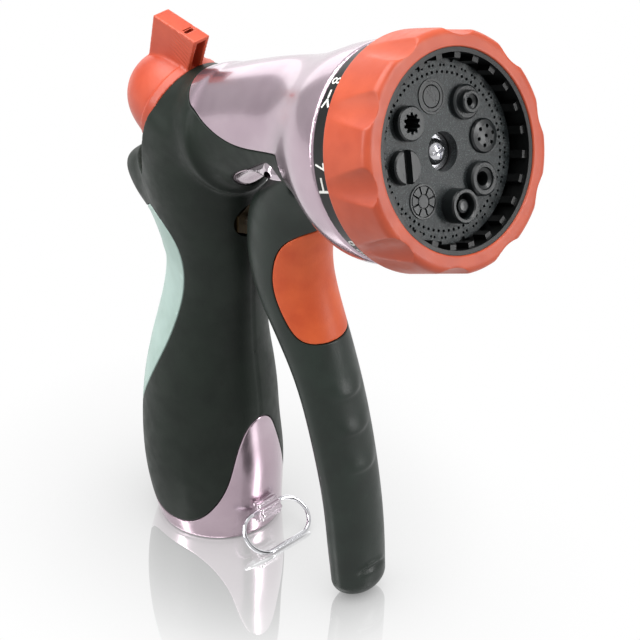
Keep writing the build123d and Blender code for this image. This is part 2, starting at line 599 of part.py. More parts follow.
def outlet_mist():
    """Flush disc with an inner ring and eight radial slots."""
    disc = ring_profile([(0, ROOT), (OUTLET_R, ROOT), (OUTLET_R, 0.35), (0, 0.35)])
    circle = Cylinder(2.05, 1.2) - Cylinder(1.75, 1.2)
    rim = Cylinder(4.35, 1.2) - Cylinder(4.05, 1.2)
    cuts = [Pos(0, 0, 0.5) * circle, Pos(0, 0, 0.5) * rim]
    for k in range(8):
        cuts.append(Rot(0, 0, 45 * k) * Pos(3.05, 0, 0.3) * Box(2.0, 0.5, 1.2))
    return disc - cuts


def outlet_flat():
    """Raised stud with a wide slot across it."""
    stud = ring_profile([(0, ROOT), (OUTLET_R, ROOT), (OUTLET_R, 2.0), (4.4, 2.45), (0, 2.45)])
    return stud - Pos(0, 0, 2.0) * Rot(0, 0, -14) * Box(2.5, 12, 3.4) - Pos(0, 0, 0) * Cylinder(0.9, 9)


def outlet_rinse():
    """Raised ring with a lobed hole."""
    stud = ring_profile([(2.3, ROOT), (OUTLET_R, ROOT), (OUTLET_R, 2.0), (4.4, 2.45), (2.3, 2.45)])
    cuts = []
    for k in range(10):
        angle = radians(36 * k)
        cuts.append(Pos(2.5 * cos(angle), 2.5 * sin(angle), 1) * Cylinder(0.5, 9))
    return stud - cuts


def place_outlet(insert, index):
    """Put an insert in its hole, turned so that its own up stays up."""
    x, y = outlet_place(index)
    return DIAL.location * Pos(x, y, -PLATE_FRONT) * insert


def face_screw():
    """Cross-head screw that keeps the dial on its spindle."""
    seat = WASHER_FACE
    dome = ThreePointArc((SCREW_HEAD_R, 0, seat), (2.62, 0, seat + 1.56), (0, 0, seat + 2.2))
    shank = Polyline([Vector(0, 0, seat + 2.2), Vector(0, 0, -22), Vector(SCREW_R, 0, -22),
                      Vector(SCREW_R, 0, seat), Vector(SCREW_HEAD_R, 0, seat)])
    turned = revolve(make_face([dome, shank]), Axis.Z)
    cross = Pos(0, 0, seat + 1.7) * (Box(4.2, 0.9, 1.7) + Box(0.9, 4.2, 1.7))
    return DIAL.location * (turned - cross)


def face_washer():
    return rod(DIAL, 0, 0, WASHER_BACK, WASHER_FACE, 5.2) - rod(DIAL, 0, 0, -20, 0, SCREW_R)


def port_seal():
    """Rubber cup that presses on the back of the dial round the feeding port."""
    seal = rod(DIAL, 0, OUTLET_PCR, -28.4, -DIAL_BACK - RUN, 5.6)
    return seal - rod(DIAL, 0, OUTLET_PCR, -40, 0, 3.0)


def port_spring():
    return DIAL.location * Pos(0, OUTLET_PCR, -31.5) * coil(4.4, 0.4, 3.0, 2.5)


def click_spring():
    """Arched leaf whose bump drops into the notches on the back of the dial."""
    outline = [(-7, -2.0), (-4.2, -1.1), (-1.3, -0.5), (-0.8, 0.55), (0.8, 0.55), (1.3, -0.5), (4.2, -1.1),
               (7, -2.0), (7, -1.6), (4.3, -0.65), (1.7, -0.05), (1.1, 0.95), (-1.1, 0.95), (-1.7, -0.05),
               (-4.3, -0.65), (-7, -1.6)]
    leaf = extrude(make_face(Polyline([Vector(x, 0, z) for x, z in outline], close=True)),
                   amount=2.3, dir=(0, 1, 0), both=True)
    return DIAL.location * Pos(0, -22, -BODY_FRONT - 0.1) * leaf


# --- lock ring ---
def lock_ring():
    """Closed wire loop through the foot's lug; it swings up to hold the squeezed trigger."""
    half = RING_STRAIGHT / 2
    length = 2 * RING_END_R
    top = Line((0, -half, 0), (0, half, 0))
    right = ThreePointArc((0, half, 0), (RING_END_R, half + RING_END_R, 0), (length, half, 0))
    bottom = Line((length, half, 0), (length, -half, 0))
    left = ThreePointArc((length, -half, 0), (RING_END_R, -half - RING_END_R, 0), (0, -half, 0))
    path = Wire([top, right, bottom, left])
    section = Plane(origin=(0, 0, 0), z_dir=(0, 1, 0)) * Circle(RING_WIRE_R)
    loop = sweep(section, path=path)
    return Pos(RING_X, 0, RING_Z) * Rot(0, RING_TILT, 0) * loop


def build():
    body, grip, palm = body_and_covers()
    lever, pad = trigger_parts()
    nodes = {"nozzle_body": body, "handle_grip": grip, "palm_pad": palm,
             "hose_washer": hose_washer(), "filter_screen": filter_screen(), "lock_ring": lock_ring(), "trigger_lever": lever,
             "trigger_pad": pad, "trigger_pin": trigger_pin(), "valve_stem": valve_stem(),
             "valve_seal": valve_seal(), "valve_spring": valve_spring(), "packing_nut": packing_nut(),
             "stem_seal": stem_seal(), "flow_knob": flow_knob(), "flow_spool": flow_spool(),
             "spool_oring": spool_oring(), "spool_circlip": spool_circlip(),
             "turret_shell": turret_shell(), "index_ring": index_ring(), "bumper_ring": bumper_ring(),
             "face_plate": face_plate(), "face_screw": face_screw(), "face_washer": face_washer(),
             "port_seal": port_seal(), "port_spring": port_spring(), "click_spring": click_spring()}
    inserts = [outlet_full, outlet_jet, outlet_shower, outlet_stub, outlet_cone, outlet_mist, outlet_flat,
               outlet_rinse]
    for index, insert in enumerate(inserts):
        nodes[insert.__name__] = place_outlet(insert(), index)
    return nodes


os.makedirs("parts", exist_ok=True)
for name, shape in build().items():
    export_step(shape, "parts/" + name + ".step")
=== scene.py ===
from math import cos, pi, radians, sin

import bmesh
import bpy
import numpy as np
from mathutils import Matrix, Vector


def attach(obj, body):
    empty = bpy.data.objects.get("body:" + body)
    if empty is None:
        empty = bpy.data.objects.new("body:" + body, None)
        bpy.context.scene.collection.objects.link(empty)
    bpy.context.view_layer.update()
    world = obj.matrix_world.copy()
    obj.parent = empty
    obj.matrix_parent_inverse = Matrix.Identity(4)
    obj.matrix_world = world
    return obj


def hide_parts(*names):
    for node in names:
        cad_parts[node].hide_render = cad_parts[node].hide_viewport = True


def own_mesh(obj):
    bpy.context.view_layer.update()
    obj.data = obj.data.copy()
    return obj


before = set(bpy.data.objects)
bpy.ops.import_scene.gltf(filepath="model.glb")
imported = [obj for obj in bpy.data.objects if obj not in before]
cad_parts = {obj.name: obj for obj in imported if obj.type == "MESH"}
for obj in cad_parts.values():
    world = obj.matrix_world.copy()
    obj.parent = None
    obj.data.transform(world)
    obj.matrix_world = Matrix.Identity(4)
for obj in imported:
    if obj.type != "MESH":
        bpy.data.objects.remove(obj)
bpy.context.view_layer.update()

# Looks of a hose spray nozzle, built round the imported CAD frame. Shapes are worked out in millimetres
# as distance fields, meshed, and scaled to metres when an object is made. +X is the spray side.

MM = 0.001

# --- body: height, centre x, half depth, half width of each handle section ---
HANDLE = [(0, 0, 19.3, 19.3), (12, -1.8, 21.6, 20.6), (23, -2.6, 22.6, 21.0), (34, -3.3, 22.4, 20.4),
          (46, -3.1, 21.8, 19.4), (57, -2.6, 20.3, 18.0), (65, -2.1, 18.9, 16.6), (75, -1.0, 17.3, 15.0),
          (85, -0.1, 16.3, 13.6), (95, 0.0, 16.4, 13.5), (105, -2.0, 17.8, 14.6), (115, -3.4, 19.2, 16.2),
          (125, -3.5, 20.4, 17.2), (135, -2.5, 19.5, 17.3), (142, -1.5, 16.0, 17.2)]
# height, centre x, half depth, half width of the spur behind the hand
SPUR = [(97, -10, 6.0, 8.0), (102, -12, 13.0, 8.5), (105.5, -12, 19.5, 9.0), (108.5, -12, 22.6, 9.4),
        (112, -12, 24.0, 9.8), (116, -12, 22.0, 10.2), (120, -12, 17.4, 10.6), (125, -12, 12.0, 11.0)]
# distance behind the dial's rim, height of centre over its axis, radius
BARREL = [(24, 0.0, 31.3), (34, 0.5, 30.0), (42, 3.0, 26.0), (50, 6.0, 22.0), (60, 8.5, 19.5),
          (75, 9.5, 18.0), (95, 8.5, 17.5)]
BARREL_FRONT = 24.0
SKIN = 1.8                   # depth of the soft grip and palm pad
GAP = 0.1                    # half width of the parting line between two pieces
EDGE_R = 0.42                # rounding of a piece along its parting line

STEM_Z = 112.0               # height of the valve's axis
GLAND_HOLE_R, GLAND_HOLE_FROM, GLAND_HOLE_TO = 5.5, 8.5, 24.0
CREST_R, ROOT_R, THREADS, PITCH = 12.3, 13.5, 5, 2.209
SOCKET_DEPTH, WASHER_DEPTH, THROAT_R, THROAT_DEPTH = 13.0, 16.0, 11.0, 19.0

# --- trigger, in the handle's terms; ROOM is the side view of its space in the barrel ---
TRIGGER = [(6.4, 61.1, 6.8, 9.5), (17.7, 60.1, 7.2, 9.9), (31.8, 58.5, 7.3, 10.1), (45.3, 55.9, 7.4, 10.4),
           (58.2, 52.6, 7.6, 10.7), (73.6, 47.2, 8.6, 10.9), (87, 40.4, 11.1, 11.2), (97, 35.3, 12.8, 11.4),
           (108, 32.5, 13.4, 11.4), (118, 32.7, 13.7, 11.5), (128, 34.8, 12.9, 11.4), (135, 39.0, 11.2, 11.2),
           (140, 42.4, 9.0, 10.8)]
PIVOT = np.array([46.0, 0.0, 139.5])
CAP_H = 4.6
ROOM = [(18.8, 122), (20.2, 130), (24.6, 136.2), (30.4, 140.6), (37.0, 144.4), (44.0, 146.4),
        (50.2, 145.4), (53.0, 141.6), (54.0, 136), (57, 126), (40, 118), (24, 117)]
CHANNEL_HALF, CHANNEL_FRONT = 7.6, 4.5
KNUCKLE_R, KNUCKLE_HALF = 6.0, 5.5
SHOULDER_R = 4.9
PAD_DEPTH = 1.5
FINGER_RIDGES = (70.0, 58.5, 46.5)
PIN_HOLE_R, PIN_HEAD_R, PIN_HEAD_FROM = 2.6, 3.6, 9.3
CATCH_X, CATCH_Z, CATCH_R = 54.6, 12.5, 1.7      # notch that the raised lock ring drops into

# --- dial and knob ---
DIAL_TILT, KNOB_TILT = radians(22.62), radians(17.8)
RIM_R, BUMPER_R, BUMPER_BACK = 28.0, 33.3, 17.8
LOBES, NOTCH_DEPTH, NOTCH_R, NOTCH_START, NOTCH_LEAN = 10, 2.2, 10.5, radians(22), radians(7.5)
BAND_R, BAND_BACK = 31.0, 23.7
KNOB_R = 15.0
KNOB_PROFILE = [(14.5, 3.4), (13.6, 8.0), (12.0, 12.2), (9.2, 15.8), (5.0, 18.4), (0.0, 19.3)]
FIN_OUTLINE = [(26.0, 0.3), (13.0, 0.3), (6.0, 4.0), (4.0, 12.0), (8.6, 16.0), (22.8, 17.8)]
FIN_HALF = 3.0
LUG = np.array([20.7, 0.0, 9.0])
LUG_R, LUG_HALF = 3.0, 4.3


def frame_at(origin, x_axis, z_axis):
    """Origin and axes of a working frame; y completes it."""
    z_axis = np.array(z_axis, float)
    x_axis = np.array(x_axis, float)
    return np.array(origin, float), np.stack([x_axis, np.cross(z_axis, x_axis), z_axis])


DIAL = frame_at((97.4, 0, 168.8), (0, 1, 0), (cos(DIAL_TILT), 0, sin(DIAL_TILT)))
KNOB = frame_at((-10.9, 0, 139.8), (0, -1, 0), (-cos(KNOB_TILT), 0, sin(KNOB_TILT)))


def into(points, place):
    """World points in a working frame's own x, y, z."""
    origin, axes = place
    return (points - origin) @ axes.T


def out_of(points, place):
    """Points of a working frame in world x, y, z."""
    origin, axes = place
    return np.asarray(points, float) @ axes + origin


# --- distance fields: negative inside ---
def spline(knots, values):
    """Natural cubic through the knots, held constant beyond both ends."""
    x, y = np.asarray(knots, float), np.asarray(values, float)
    count, h = len(x), np.diff(x)
    system, right = np.eye(count), np.zeros(count)
    for i in range(1, count - 1):
        system[i, i - 1:i + 2] = h[i - 1], 2 * (h[i - 1] + h[i]), h[i]
        right[i] = 6 * ((y[i + 1] - y[i]) / h[i] - (y[i] - y[i - 1]) / h[i - 1])
    bend = np.linalg.solve(system, right)

    def at(t):
        t = np.clip(t, x[0], x[-1])
        i = np.clip(np.searchsorted(x, t) - 1, 0, count - 2)
        u, v, w = t - x[i], x[i + 1] - t, h[i]
        cubic = (bend[i] * v ** 3 + bend[i + 1] * u ** 3) / (6 * w)
        return cubic + (y[i] / w - bend[i] * w / 6) * v + (y[i + 1] / w - bend[i + 1] * w / 6) * u
    return at


def columns(rows, at):
    """Each further column of a section table, read at values of its first column."""
    table = np.array(rows, float)
    return [spline(table[:, 0], table[:, i])(at) for i in range(1, table.shape[1])]


def smooth_line(points, closed=False, samples=140):
    """Dense points of a smooth curve through a few."""
    points = np.array(points, float)
    if closed:
        points = np.concatenate([points[-3:], points, points[:4]])
    reach = np.concatenate([[0], np.cumsum(np.linalg.norm(np.diff(points, axis=0), axis=1))])
    low, high = (reach[3], reach[-4]) if closed else (reach[0], reach[-1])
    t = np.linspace(low, high, samples, endpoint=not closed)
    return np.stack([spline(reach, points[:, 0])(t), spline(reach, points[:, 1])(t)], 1)


def soft_min(a, b, k):
    """Union of two fields with a fillet of about k."""
    h = np.clip(0.5 + 0.5 * (b - a) / k, 0, 1)
    return b * (1 - h) + a * h - k * h * (1 - h)


def soft_max(a, b, k):
    return -soft_min(-a, -b, k)


def ellipse(u, v, a, b):
    q = np.hypot(u / a, v / b)
    slope = np.hypot(u / a ** 2, v / b ** 2) / np.maximum(q, 1e-6)
    return (q - 1) / np.maximum(slope, 1e-6)


def ellipsoid(points, centre, radii):
    radii = np.array(radii, float)
    r = (points - np.array(centre, float)) / radii
    q = np.linalg.norm(r, axis=1)
    slope = np.linalg.norm(r / radii, axis=1)
    return (q - 1) * np.maximum(q, 1e-6) / np.maximum(slope, 1e-6)


def box(points, centre, half):
    q = np.abs(points - np.array(centre, float)) - np.array(half, float)
    return np.linalg.norm(np.maximum(q, 0), axis=1) + np.minimum(q.max(1), 0)


def polygon(u, v, outline):
    """Distance to a closed outline."""
    best, inside = np.full(len(u), 1e9), np.zeros(len(u), bool)
    for (ax, ay), (bx, by) in zip(outline, np.roll(outline, -1, 0)):
        ex, ey = bx - ax, by - ay
        t = np.clip(((u - ax) * ex + (v - ay) * ey) / max(ex * ex + ey * ey, 1e-12), 0, 1)
        best = np.minimum(best, (u - ax - t * ex) ** 2 + (v - ay - t * ey) ** 2)
        if ay != by:
            inside ^= ((ay > v) != (by > v)) & (u < ex * (v - ay) / ey + ax)
    return np.where(inside, -1, 1) * np.sqrt(best)


def capsule(points, start, end, radius):
    start, end = np.array(start, float), np.array(end, float)
    along = end - start
    t = np.clip((points - start) @ along / (along @ along), 0, 1)
    return np.linalg.norm(points - start - t[:, None] * along, axis=1) - radius


def section_field(points, rows):
    """Elliptical sections stacked up Z."""
    x, y, z = points.T
    centre, depth, width = columns(rows, z)
    return ellipse(x - centre, y, depth, width)


# --- meshing ---
def gradient(field, points, step=0.02):
    slope = np.empty_like(points)
    for axis in range(3):
        shift = np.zeros(3)
        shift[axis] = step
        slope[:, axis] = (field(points + shift) - field(points - shift)) / (2 * step)
    return slope


def settle(field, points, rounds=4):
    """Draw points onto the field's surface."""
    for _ in range(rounds):
        slope = gradient(field, points)
        move = (field(points) / np.maximum((slope ** 2).sum(1), 0.2))[:, None] * slope
        points = points - np.clip(move, -0.5, 0.5)
    return points


def normals_of(field, points):
    slope = gradient(field, points)
    return slope / np.maximum(np.linalg.norm(slope, axis=1), 1e-9)[:, None]


def mesh_field(field, low, high, step):
    """Closed triangle mesh of a field's surface, by surface nets on a regular grid."""
    low = np.array(low, float)
    size = [int(np.ceil((b - a) / step)) + 1 for a, b in zip(low, high)]
    axes = [a + step * np.arange(n) for a, n in zip(low, size)]
    slabs = [field(np.stack(np.meshgrid([x], axes[1], axes[2], indexing="ij"), -1).reshape(-1, 3))
             for x in axes[0]]
    value = np.array(slabs).reshape(size)
    cells = [n - 1 for n in size]
    rings, crossings = [], []
    for axis in range(3):
        first, second = (axis + 1) % 3, (axis + 2) % 3
        lower = value[tuple(slice(0, n - (i == axis)) for i, n in enumerate(size))]
        upper = value[tuple(slice(int(i == axis), n) for i, n in enumerate(size))]
        where = np.argwhere((lower < 0) != (upper < 0))
        a, b = lower[tuple(where.T)], upper[tuple(where.T)]
        place = low + step * where
        place[:, axis] += step * a / (a - b)
        ring = []
        for back, down in ((1, 1), (0, 1), (0, 0), (1, 0)):
            cell = where.copy()
            cell[:, first] -= back
            cell[:, second] -= down
            ring.append(np.ravel_multi_index(cell.T, cells, mode="clip"))
        ring = np.stack(ring, 1)
        ring[a > 0] = ring[a > 0][:, ::-1]
        rings.append(ring)
        crossings.append(np.repeat(place, 4, axis=0))
    rings = np.concatenate(rings)
    _, index = np.unique(rings.ravel(), return_inverse=True)
    index = index.ravel()
    crossings = np.concatenate(crossings)
    total = np.stack([np.bincount(index, crossings[:, i]) for i in range(3)], 1)
    points = total / np.bincount(index)[:, None]
    quads = index.reshape(-1, 4)
    faces = np.concatenate([quads[:, [0, 1, 2]], quads[:, [0, 2, 3]]])
    return settle(field, points), faces


def cut(points, faces, data, level):
    """Split triangles where data crosses a level, so that a row of edges lies along it."""
    value = data - level
    high = (value > 0)[faces]
    count = high.sum(1)
    mixed = (count == 1) | (count == 2)
    split, high = faces[mixed], high[mixed]
    odd = np.where((count[mixed] == 1)[:, None], high, ~high).argmax(1)
    rows = np.arange(len(split))
    a, b, c = (split[rows, (odd + i) % 3] for i in range(3))
    edges = np.sort(np.concatenate([np.stack([a, b], 1), np.stack([a, c], 1)]), 1)
    key, index = np.unique(edges, axis=0, return_inverse=True)
    index = index.ravel() + len(points)
    t = value[key[:, 0]] / (value[key[:, 0]] - value[key[:, 1]])
    fresh = points[key[:, 0]] + t[:, None] * (points[key[:, 1]] - points[key[:, 0]])
    ab, ac = index[:len(split)], index[len(split):]
    pieces = [faces[~mixed], np.stack([a, ab, ac], 1), np.stack([ab, b, c], 1), np.stack([ab, c, ac], 1)]
    data = np.concatenate([data, np.full(len(fresh), float(level))])
    return np.concatenate([points, fresh]), np.concatenate(pieces), data


def cut_rows(points, faces, data, levels):
    for level in levels:
        points, faces, data = cut(points, faces, data, level)
    return points, faces, data


def keep(points, faces, wanted):
    """Only the wanted faces and the points that they use."""
    faces = faces[wanted]
    used, index = np.unique(faces.ravel(), return_inverse=True)
    return points[used], index.ravel().reshape(-1, 3), used


def rounded_edge(distance):
    """Depth of a piece's surface at a distance in from its parting line."""
    left = np.clip((GAP + EDGE_R - distance) / EDGE_R, 0, 1)
    return EDGE_R * (1 - np.sqrt(1 - left ** 2))


EDGE_ROWS = (GAP, GAP + 0.12 * EDGE_R, GAP + 0.35 * EDGE_R, GAP + 0.65 * EDGE_R, GAP + EDGE_R)


def skin_piece(field, points, faces, region, thickness):
    """Closed cover over the part of a surface where region is positive, with rounded edges."""
    points, faces, data = cut_rows(points, faces, region, EDGE_ROWS)
    points, faces, used = keep(points, faces, data[faces].mean(1) > GAP)
    normals = normals_of(field, points)
    top = points - normals * rounded_edge(data[used])[:, None]
    bottom = points - normals * thickness
    count = len(points)
    loops = np.concatenate([faces[:, [0, 1]], faces[:, [1, 2]], faces[:, [2, 0]]])
    known = set(map(tuple, loops.tolist()))
    rim = np.array([(i, j) for i, j in loops.tolist() if (j, i) not in known])
    i, j = rim.T
    walls = np.concatenate([np.stack([j, i, i + count], 1), np.stack([j, i + count, j + count], 1)])
    faces = np.concatenate([faces, faces[:, ::-1] + count, walls])
    return np.concatenate([top, bottom]), faces


def recessed_piece(field, points, faces, region, depth):
    """The closed surface itself, sunk where region is negative so that covers fit in."""
    floor_row = GAP - 0.06
    points, faces, data = cut_rows(points, faces, region, (floor_row,) + EDGE_ROWS)
    sink = np.where(data > floor_row + 1e-6, rounded_edge(data), depth)
    return points - normals_of(field, points) * sink[:, None], faces


def along_surface(value, points, normals):
    """A flat outline's distance, corrected to distance along the surface close to the outline."""
    result = value(points)
    close = np.abs(result) < 5.0
    slope = gradient(value, points[close], 0.05)
    n = normals[close]
    lying = slope - (slope * n).sum(1)[:, None] * n
    result[close] /= np.clip(np.linalg.norm(lying, axis=1), 0.3, 1.0)
    return result


def new_object(name, data):
    obj = bpy.data.objects.new(name, data)
    bpy.context.scene.collection.objects.link(obj)
    return obj


def new_mesh(name, points, faces):
    """Mesh from millimetre points."""
    mesh = bpy.data.meshes.new(name)
    mesh.from_pydata((np.asarray(points) * MM).tolist(), [], [list(map(int, f)) for f in faces])
    return mesh


def final_mesh(obj):
    """An object's mesh with its modifiers applied, or a text's mesh."""
    bpy.context.view_layer.update()
    return bpy.data.meshes.new_from_object(obj.evaluated_get(bpy.context.evaluated_depsgraph_get()))


def shade(mesh, sharp):
    """Smooth shading, apart from edges over an angle in degrees."""
    mesh.shade_smooth()
    mesh.set_sharp_from_angle(angle=radians(sharp))


def make(name, points, faces, body, paint, slot=None, sharp=50):
    """A smooth-shaded mesh object from millimetre points, riding on a body."""
    mesh = new_mesh(name, points, faces)
    mesh.update()
    shade(mesh, sharp)
    obj = new_object(name, mesh)
    obj.data.materials.append(paint)
    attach(obj, body)
    return obj


def tube(rings, closed=False):
    """Tube through rings of equal size, closed on itself or with end caps."""
    count, size = len(rings), len(rings[0])
    faces = []
    for i in range(count if closed else count - 1):
        after = (i + 1) % count * size
        for j in range(size):
            turned = (j + 1) % size
            faces.append((i * size + j, i * size + turned, after + turned, after + j))
    if not closed:
        faces += [list(range(size))[::-1], list(range((count - 1) * size, count * size))]
    return np.concatenate(rings), faces


def circle(radius, count):
    """Points round a circle, as two coordinates."""
    turn = 2 * pi * np.arange(count) / count
    return radius * np.cos(turn), radius * np.sin(turn)


# --- body shape ---
def dial_axis_parts(points):
    """Sideways, height and distance back in the dial frame."""
    side, height, out = into(points, DIAL).T
    return side, height, -out


def rear_field(points):
    """Tapering bend between the barrel's back end and the knob's plane."""
    start = out_of([0, BARREL[-1][1], -BARREL[-1][0]], DIAL)
    end = KNOB[0]
    half_bend = (DIAL_TILT + KNOB_TILT) / 2
    x, y, z = points.T
    t = np.clip((x - start[0]) / (end[0] - start[0]), -0.2, 1.3)
    radius = BARREL[-1][2] + t * (KNOB_R + 0.2 - BARREL[-1][2])
    height = start[2] + t * (end[2] - start[2])
    cone = ellipse(z - height, y, radius * cos(half_bend), radius)
    return soft_max(cone, BARREL[-1][0] - 3 - dial_axis_parts(points)[2], 1.0)


def trigger_room(points):
    """Space cut through the underside of the barrel for the trigger's top; 9 mm off is far enough away."""
    x, _, z = points.T
    room = np.full(len(points), 9.0)
    near = (x > 11) & (x < 64) & (z > 110) & (z < 154)
    room[near] = polygon(x[near], z[near], smooth_line(ROOM, closed=True, samples=72))
    return room


def behind_knob(points):
    """Negative in front of the step where the knob sits."""
    _, up, out = into(points, KNOB).T
    return soft_min(out, up + 23.0, 2.0)


def body_field(points):
    """Outside of the handle, spur, barrel and rear, with the space for the trigger's top."""
    x, _, z = points.T
    side, height, back = dial_axis_parts(points)
    handle = soft_max(section_field(points, HANDLE), z - HANDLE[-1][0], 3.0)
    spur = section_field(points, SPUR)
    spur = soft_max(soft_max(spur, SPUR[0][0] - z, 2.0), z - SPUR[-1][0], 2.0)
    rise, radius = columns(BARREL, back)
    barrel = np.hypot(side, height - rise) - radius
    barrel = soft_max(barrel, back - BARREL[-1][0], 6.0)
    top = soft_min(barrel, rear_field(points), 6.0)
    shape = soft_min(soft_min(handle, spur, 5.0), top, 1.5 + 7.0 * np.clip((10 - x) / 25, 0, 1))
    shape = soft_max(shape, BARREL_FRONT - back, 1.3)
    shape = soft_max(shape, behind_knob(points), 0.5)
    shape = soft_max(shape, -trigger_room(points), 1.2)
    return soft_max(shape, -z, 1.2)


def hinge_field(points):
    """Rounded shoulders and the knuckle that carry the trigger."""
    ends = [((28.6, 10.6 * s, 135.4), (44.4, 15.8 * s, 147.4)) for s in (-1, 1)]
    shoulders = np.minimum(*[capsule(points, start, end, SHOULDER_R) for start, end in ends])
    shoulders = soft_max(shoulders, -trigger_room(points), 1.0)
    x, y, z = (points - PIVOT).T
    knuckle = np.maximum(np.hypot(x, z) - KNUCKLE_R, np.abs(y) - KNUCKLE_HALF)
    neck = box(points, PIVOT + (0, 0, 4), (KNUCKLE_R, KNUCKLE_HALF, 4))
    return soft_min(shoulders, soft_min(knuckle, neck, 1.0), 1.5)


def tongue_outline(half):
    """Closed front-view outline from one half of a tongue of bare metal at the foot."""
    mirrored = half + [(-y, z) for y, z in reversed(half) if y > 0]
    curve = smooth_line(mirrored)
    return np.concatenate([curve, [(-30, -9), (30, -9)]])


FRONT_TONGUE = [(26, 4.0), (22, 4.0), (19.7, 5.0), (17.8, 7.2), (15.6, 11.1), (13.6, 15.6), (11.8, 20.7),
                (10.2, 26.3), (8.7, 31.3), (6.9, 36.2), (4.2, 40.6), (0, 42.6)]
REAR_TONGUE = [(26, 4.0), (22, 4.0), (19.3, 4.8), (16.5, 7.5), (13.0, 12.5), (9.0, 19), (4.5, 24.5),
               (0, 26.5)]
# edge of the grip on the barrel: distance behind the rim, height over the dial's axis
GRIP_EDGE = [(97, 28.0), (94.4, 24.7), (91.3, 21.5), (87.5, 18.0), (82.4, 14.4), (76.6, 11.1), (70.1, 8.7),
             (63.0, 7.7), (48.5, 7.4)]
PALM_EDGE = [(-30, 96), (-22, 103.5), (-14.5, 109), (-7.2, 107.4), (-0.8, 99.8), (0.6, 91), (-0.4, 81),
             (-3.0, 71), (-7.2, 60.5), (-15.6, 44.2), (-21, 36), (-28, 30)]
PAD_EDGE = [(36.1, 107.5), (37.1, 112.8), (39.3, 117.3), (43.5, 121.2), (50, 123.3), (57, 122), (62, 112),
            (64, 98), (60, 88), (53, 86.6), (46.5, 87.6), (41, 93), (37.8, 98.5), (36.3, 103)]


def dial_side(back, height):
    """World x, z of a place given in the dial's terms."""
    x, _, z = out_of([0, height, -back], DIAL)
    return x, z


def side_grip(points):
    """Positive inside the grip's side view above the foot."""
    upper = smooth_line([dial_side(s, h) for s, h in GRIP_EDGE])
    rest = [dial_side(52.0, -30), (40, -5), (-60, -5), (-60, 190), dial_side(97.5, 40)]
    return -polygon(points[:, 0], points[:, 2], np.concatenate([upper, rest]))


def foot_grip(points):
    """Positive above the tongues of bare metal at the foot, front and rear."""
    front = polygon(points[:, 1], points[:, 2], tongue_outline(FRONT_TONGUE))
    rear = polygon(points[:, 1], points[:, 2], tongue_outline(REAR_TONGUE))
    share = np.clip((points[:, 0] + 6.0) / 8.0, 0, 1)
    return rear + (front - rear) * share ** 2 * (3 - 2 * share)


def palm_side(points):
    """Positive inside the palm pad's side view."""
    outline = np.concatenate([smooth_line(PALM_EDGE), [(-60, 30), (-60, 96)]])
    return -polygon(points[:, 0], points[:, 2], outline)


def knob_side(points):
    """Positive in front of the knob's plane."""
    return GAP - 0.05 - behind_knob(points)


def front_seam(points, region):
    """Moulding line down the middle of the grip's front, between the trigger and the foot."""
    inside = (points[:, 0] > 4) & (points[:, 2] < 106) & (region > 0.6)
    return np.where(inside, 0.3 * np.exp(-(points[:, 1] / 0.28) ** 2), 0)


def socket_cutter():
    """Threaded hose socket with its washer seat, as one turned solid."""
    outline = [(CREST_R + 0.6, -3), (CREST_R + 0.6, -0.1), (CREST_R, 0.5)]
    for turn in range(THREADS):
        z = 1.6 + turn * PITCH
        outline += [(CREST_R, z - 0.75), (ROOT_R, z - 0.2), (ROOT_R, z + 0.2), (CREST_R, z + 0.75)]
    outline += [(CREST_R, SOCKET_DEPTH), (ROOT_R, SOCKET_DEPTH), (ROOT_R, WASHER_DEPTH)]
    outline += [(THROAT_R, WASHER_DEPTH), (THROAT_R, THROAT_DEPTH)]
    steps = 96
    return tube([np.stack([*circle(r, steps), np.full(steps, z)], 1) for r, z in outline])


def gland_cutter():
    """Round hole for the gland nut in the handle's front."""
    steps = 64
    y, z = circle(GLAND_HOLE_R, steps)
    return tube([np.stack([np.full(steps, x), y, z + STEM_Z], 1) for x in (GLAND_HOLE_FROM, GLAND_HOLE_TO)])


def subtract(obj, points, faces):
    """Cut a closed solid out of an object."""
    mesh = new_mesh("cutter", points, faces)
    shape = bmesh.new()
    shape.from_mesh(mesh)
    bmesh.ops.recalc_face_normals(shape, faces=shape.faces)
    shape.to_mesh(mesh)
    shape.free()
    cutter = new_object("cutter", mesh)
    step = obj.modifiers.new("cut", "BOOLEAN")
    step.operation, step.solver, step.object = "DIFFERENCE", "MANIFOLD", cutter
    result = final_mesh(obj)
    obj.modifiers.remove(step)
    obj.data = result
    bpy.data.objects.remove(cutter)
    shade(result, 42)


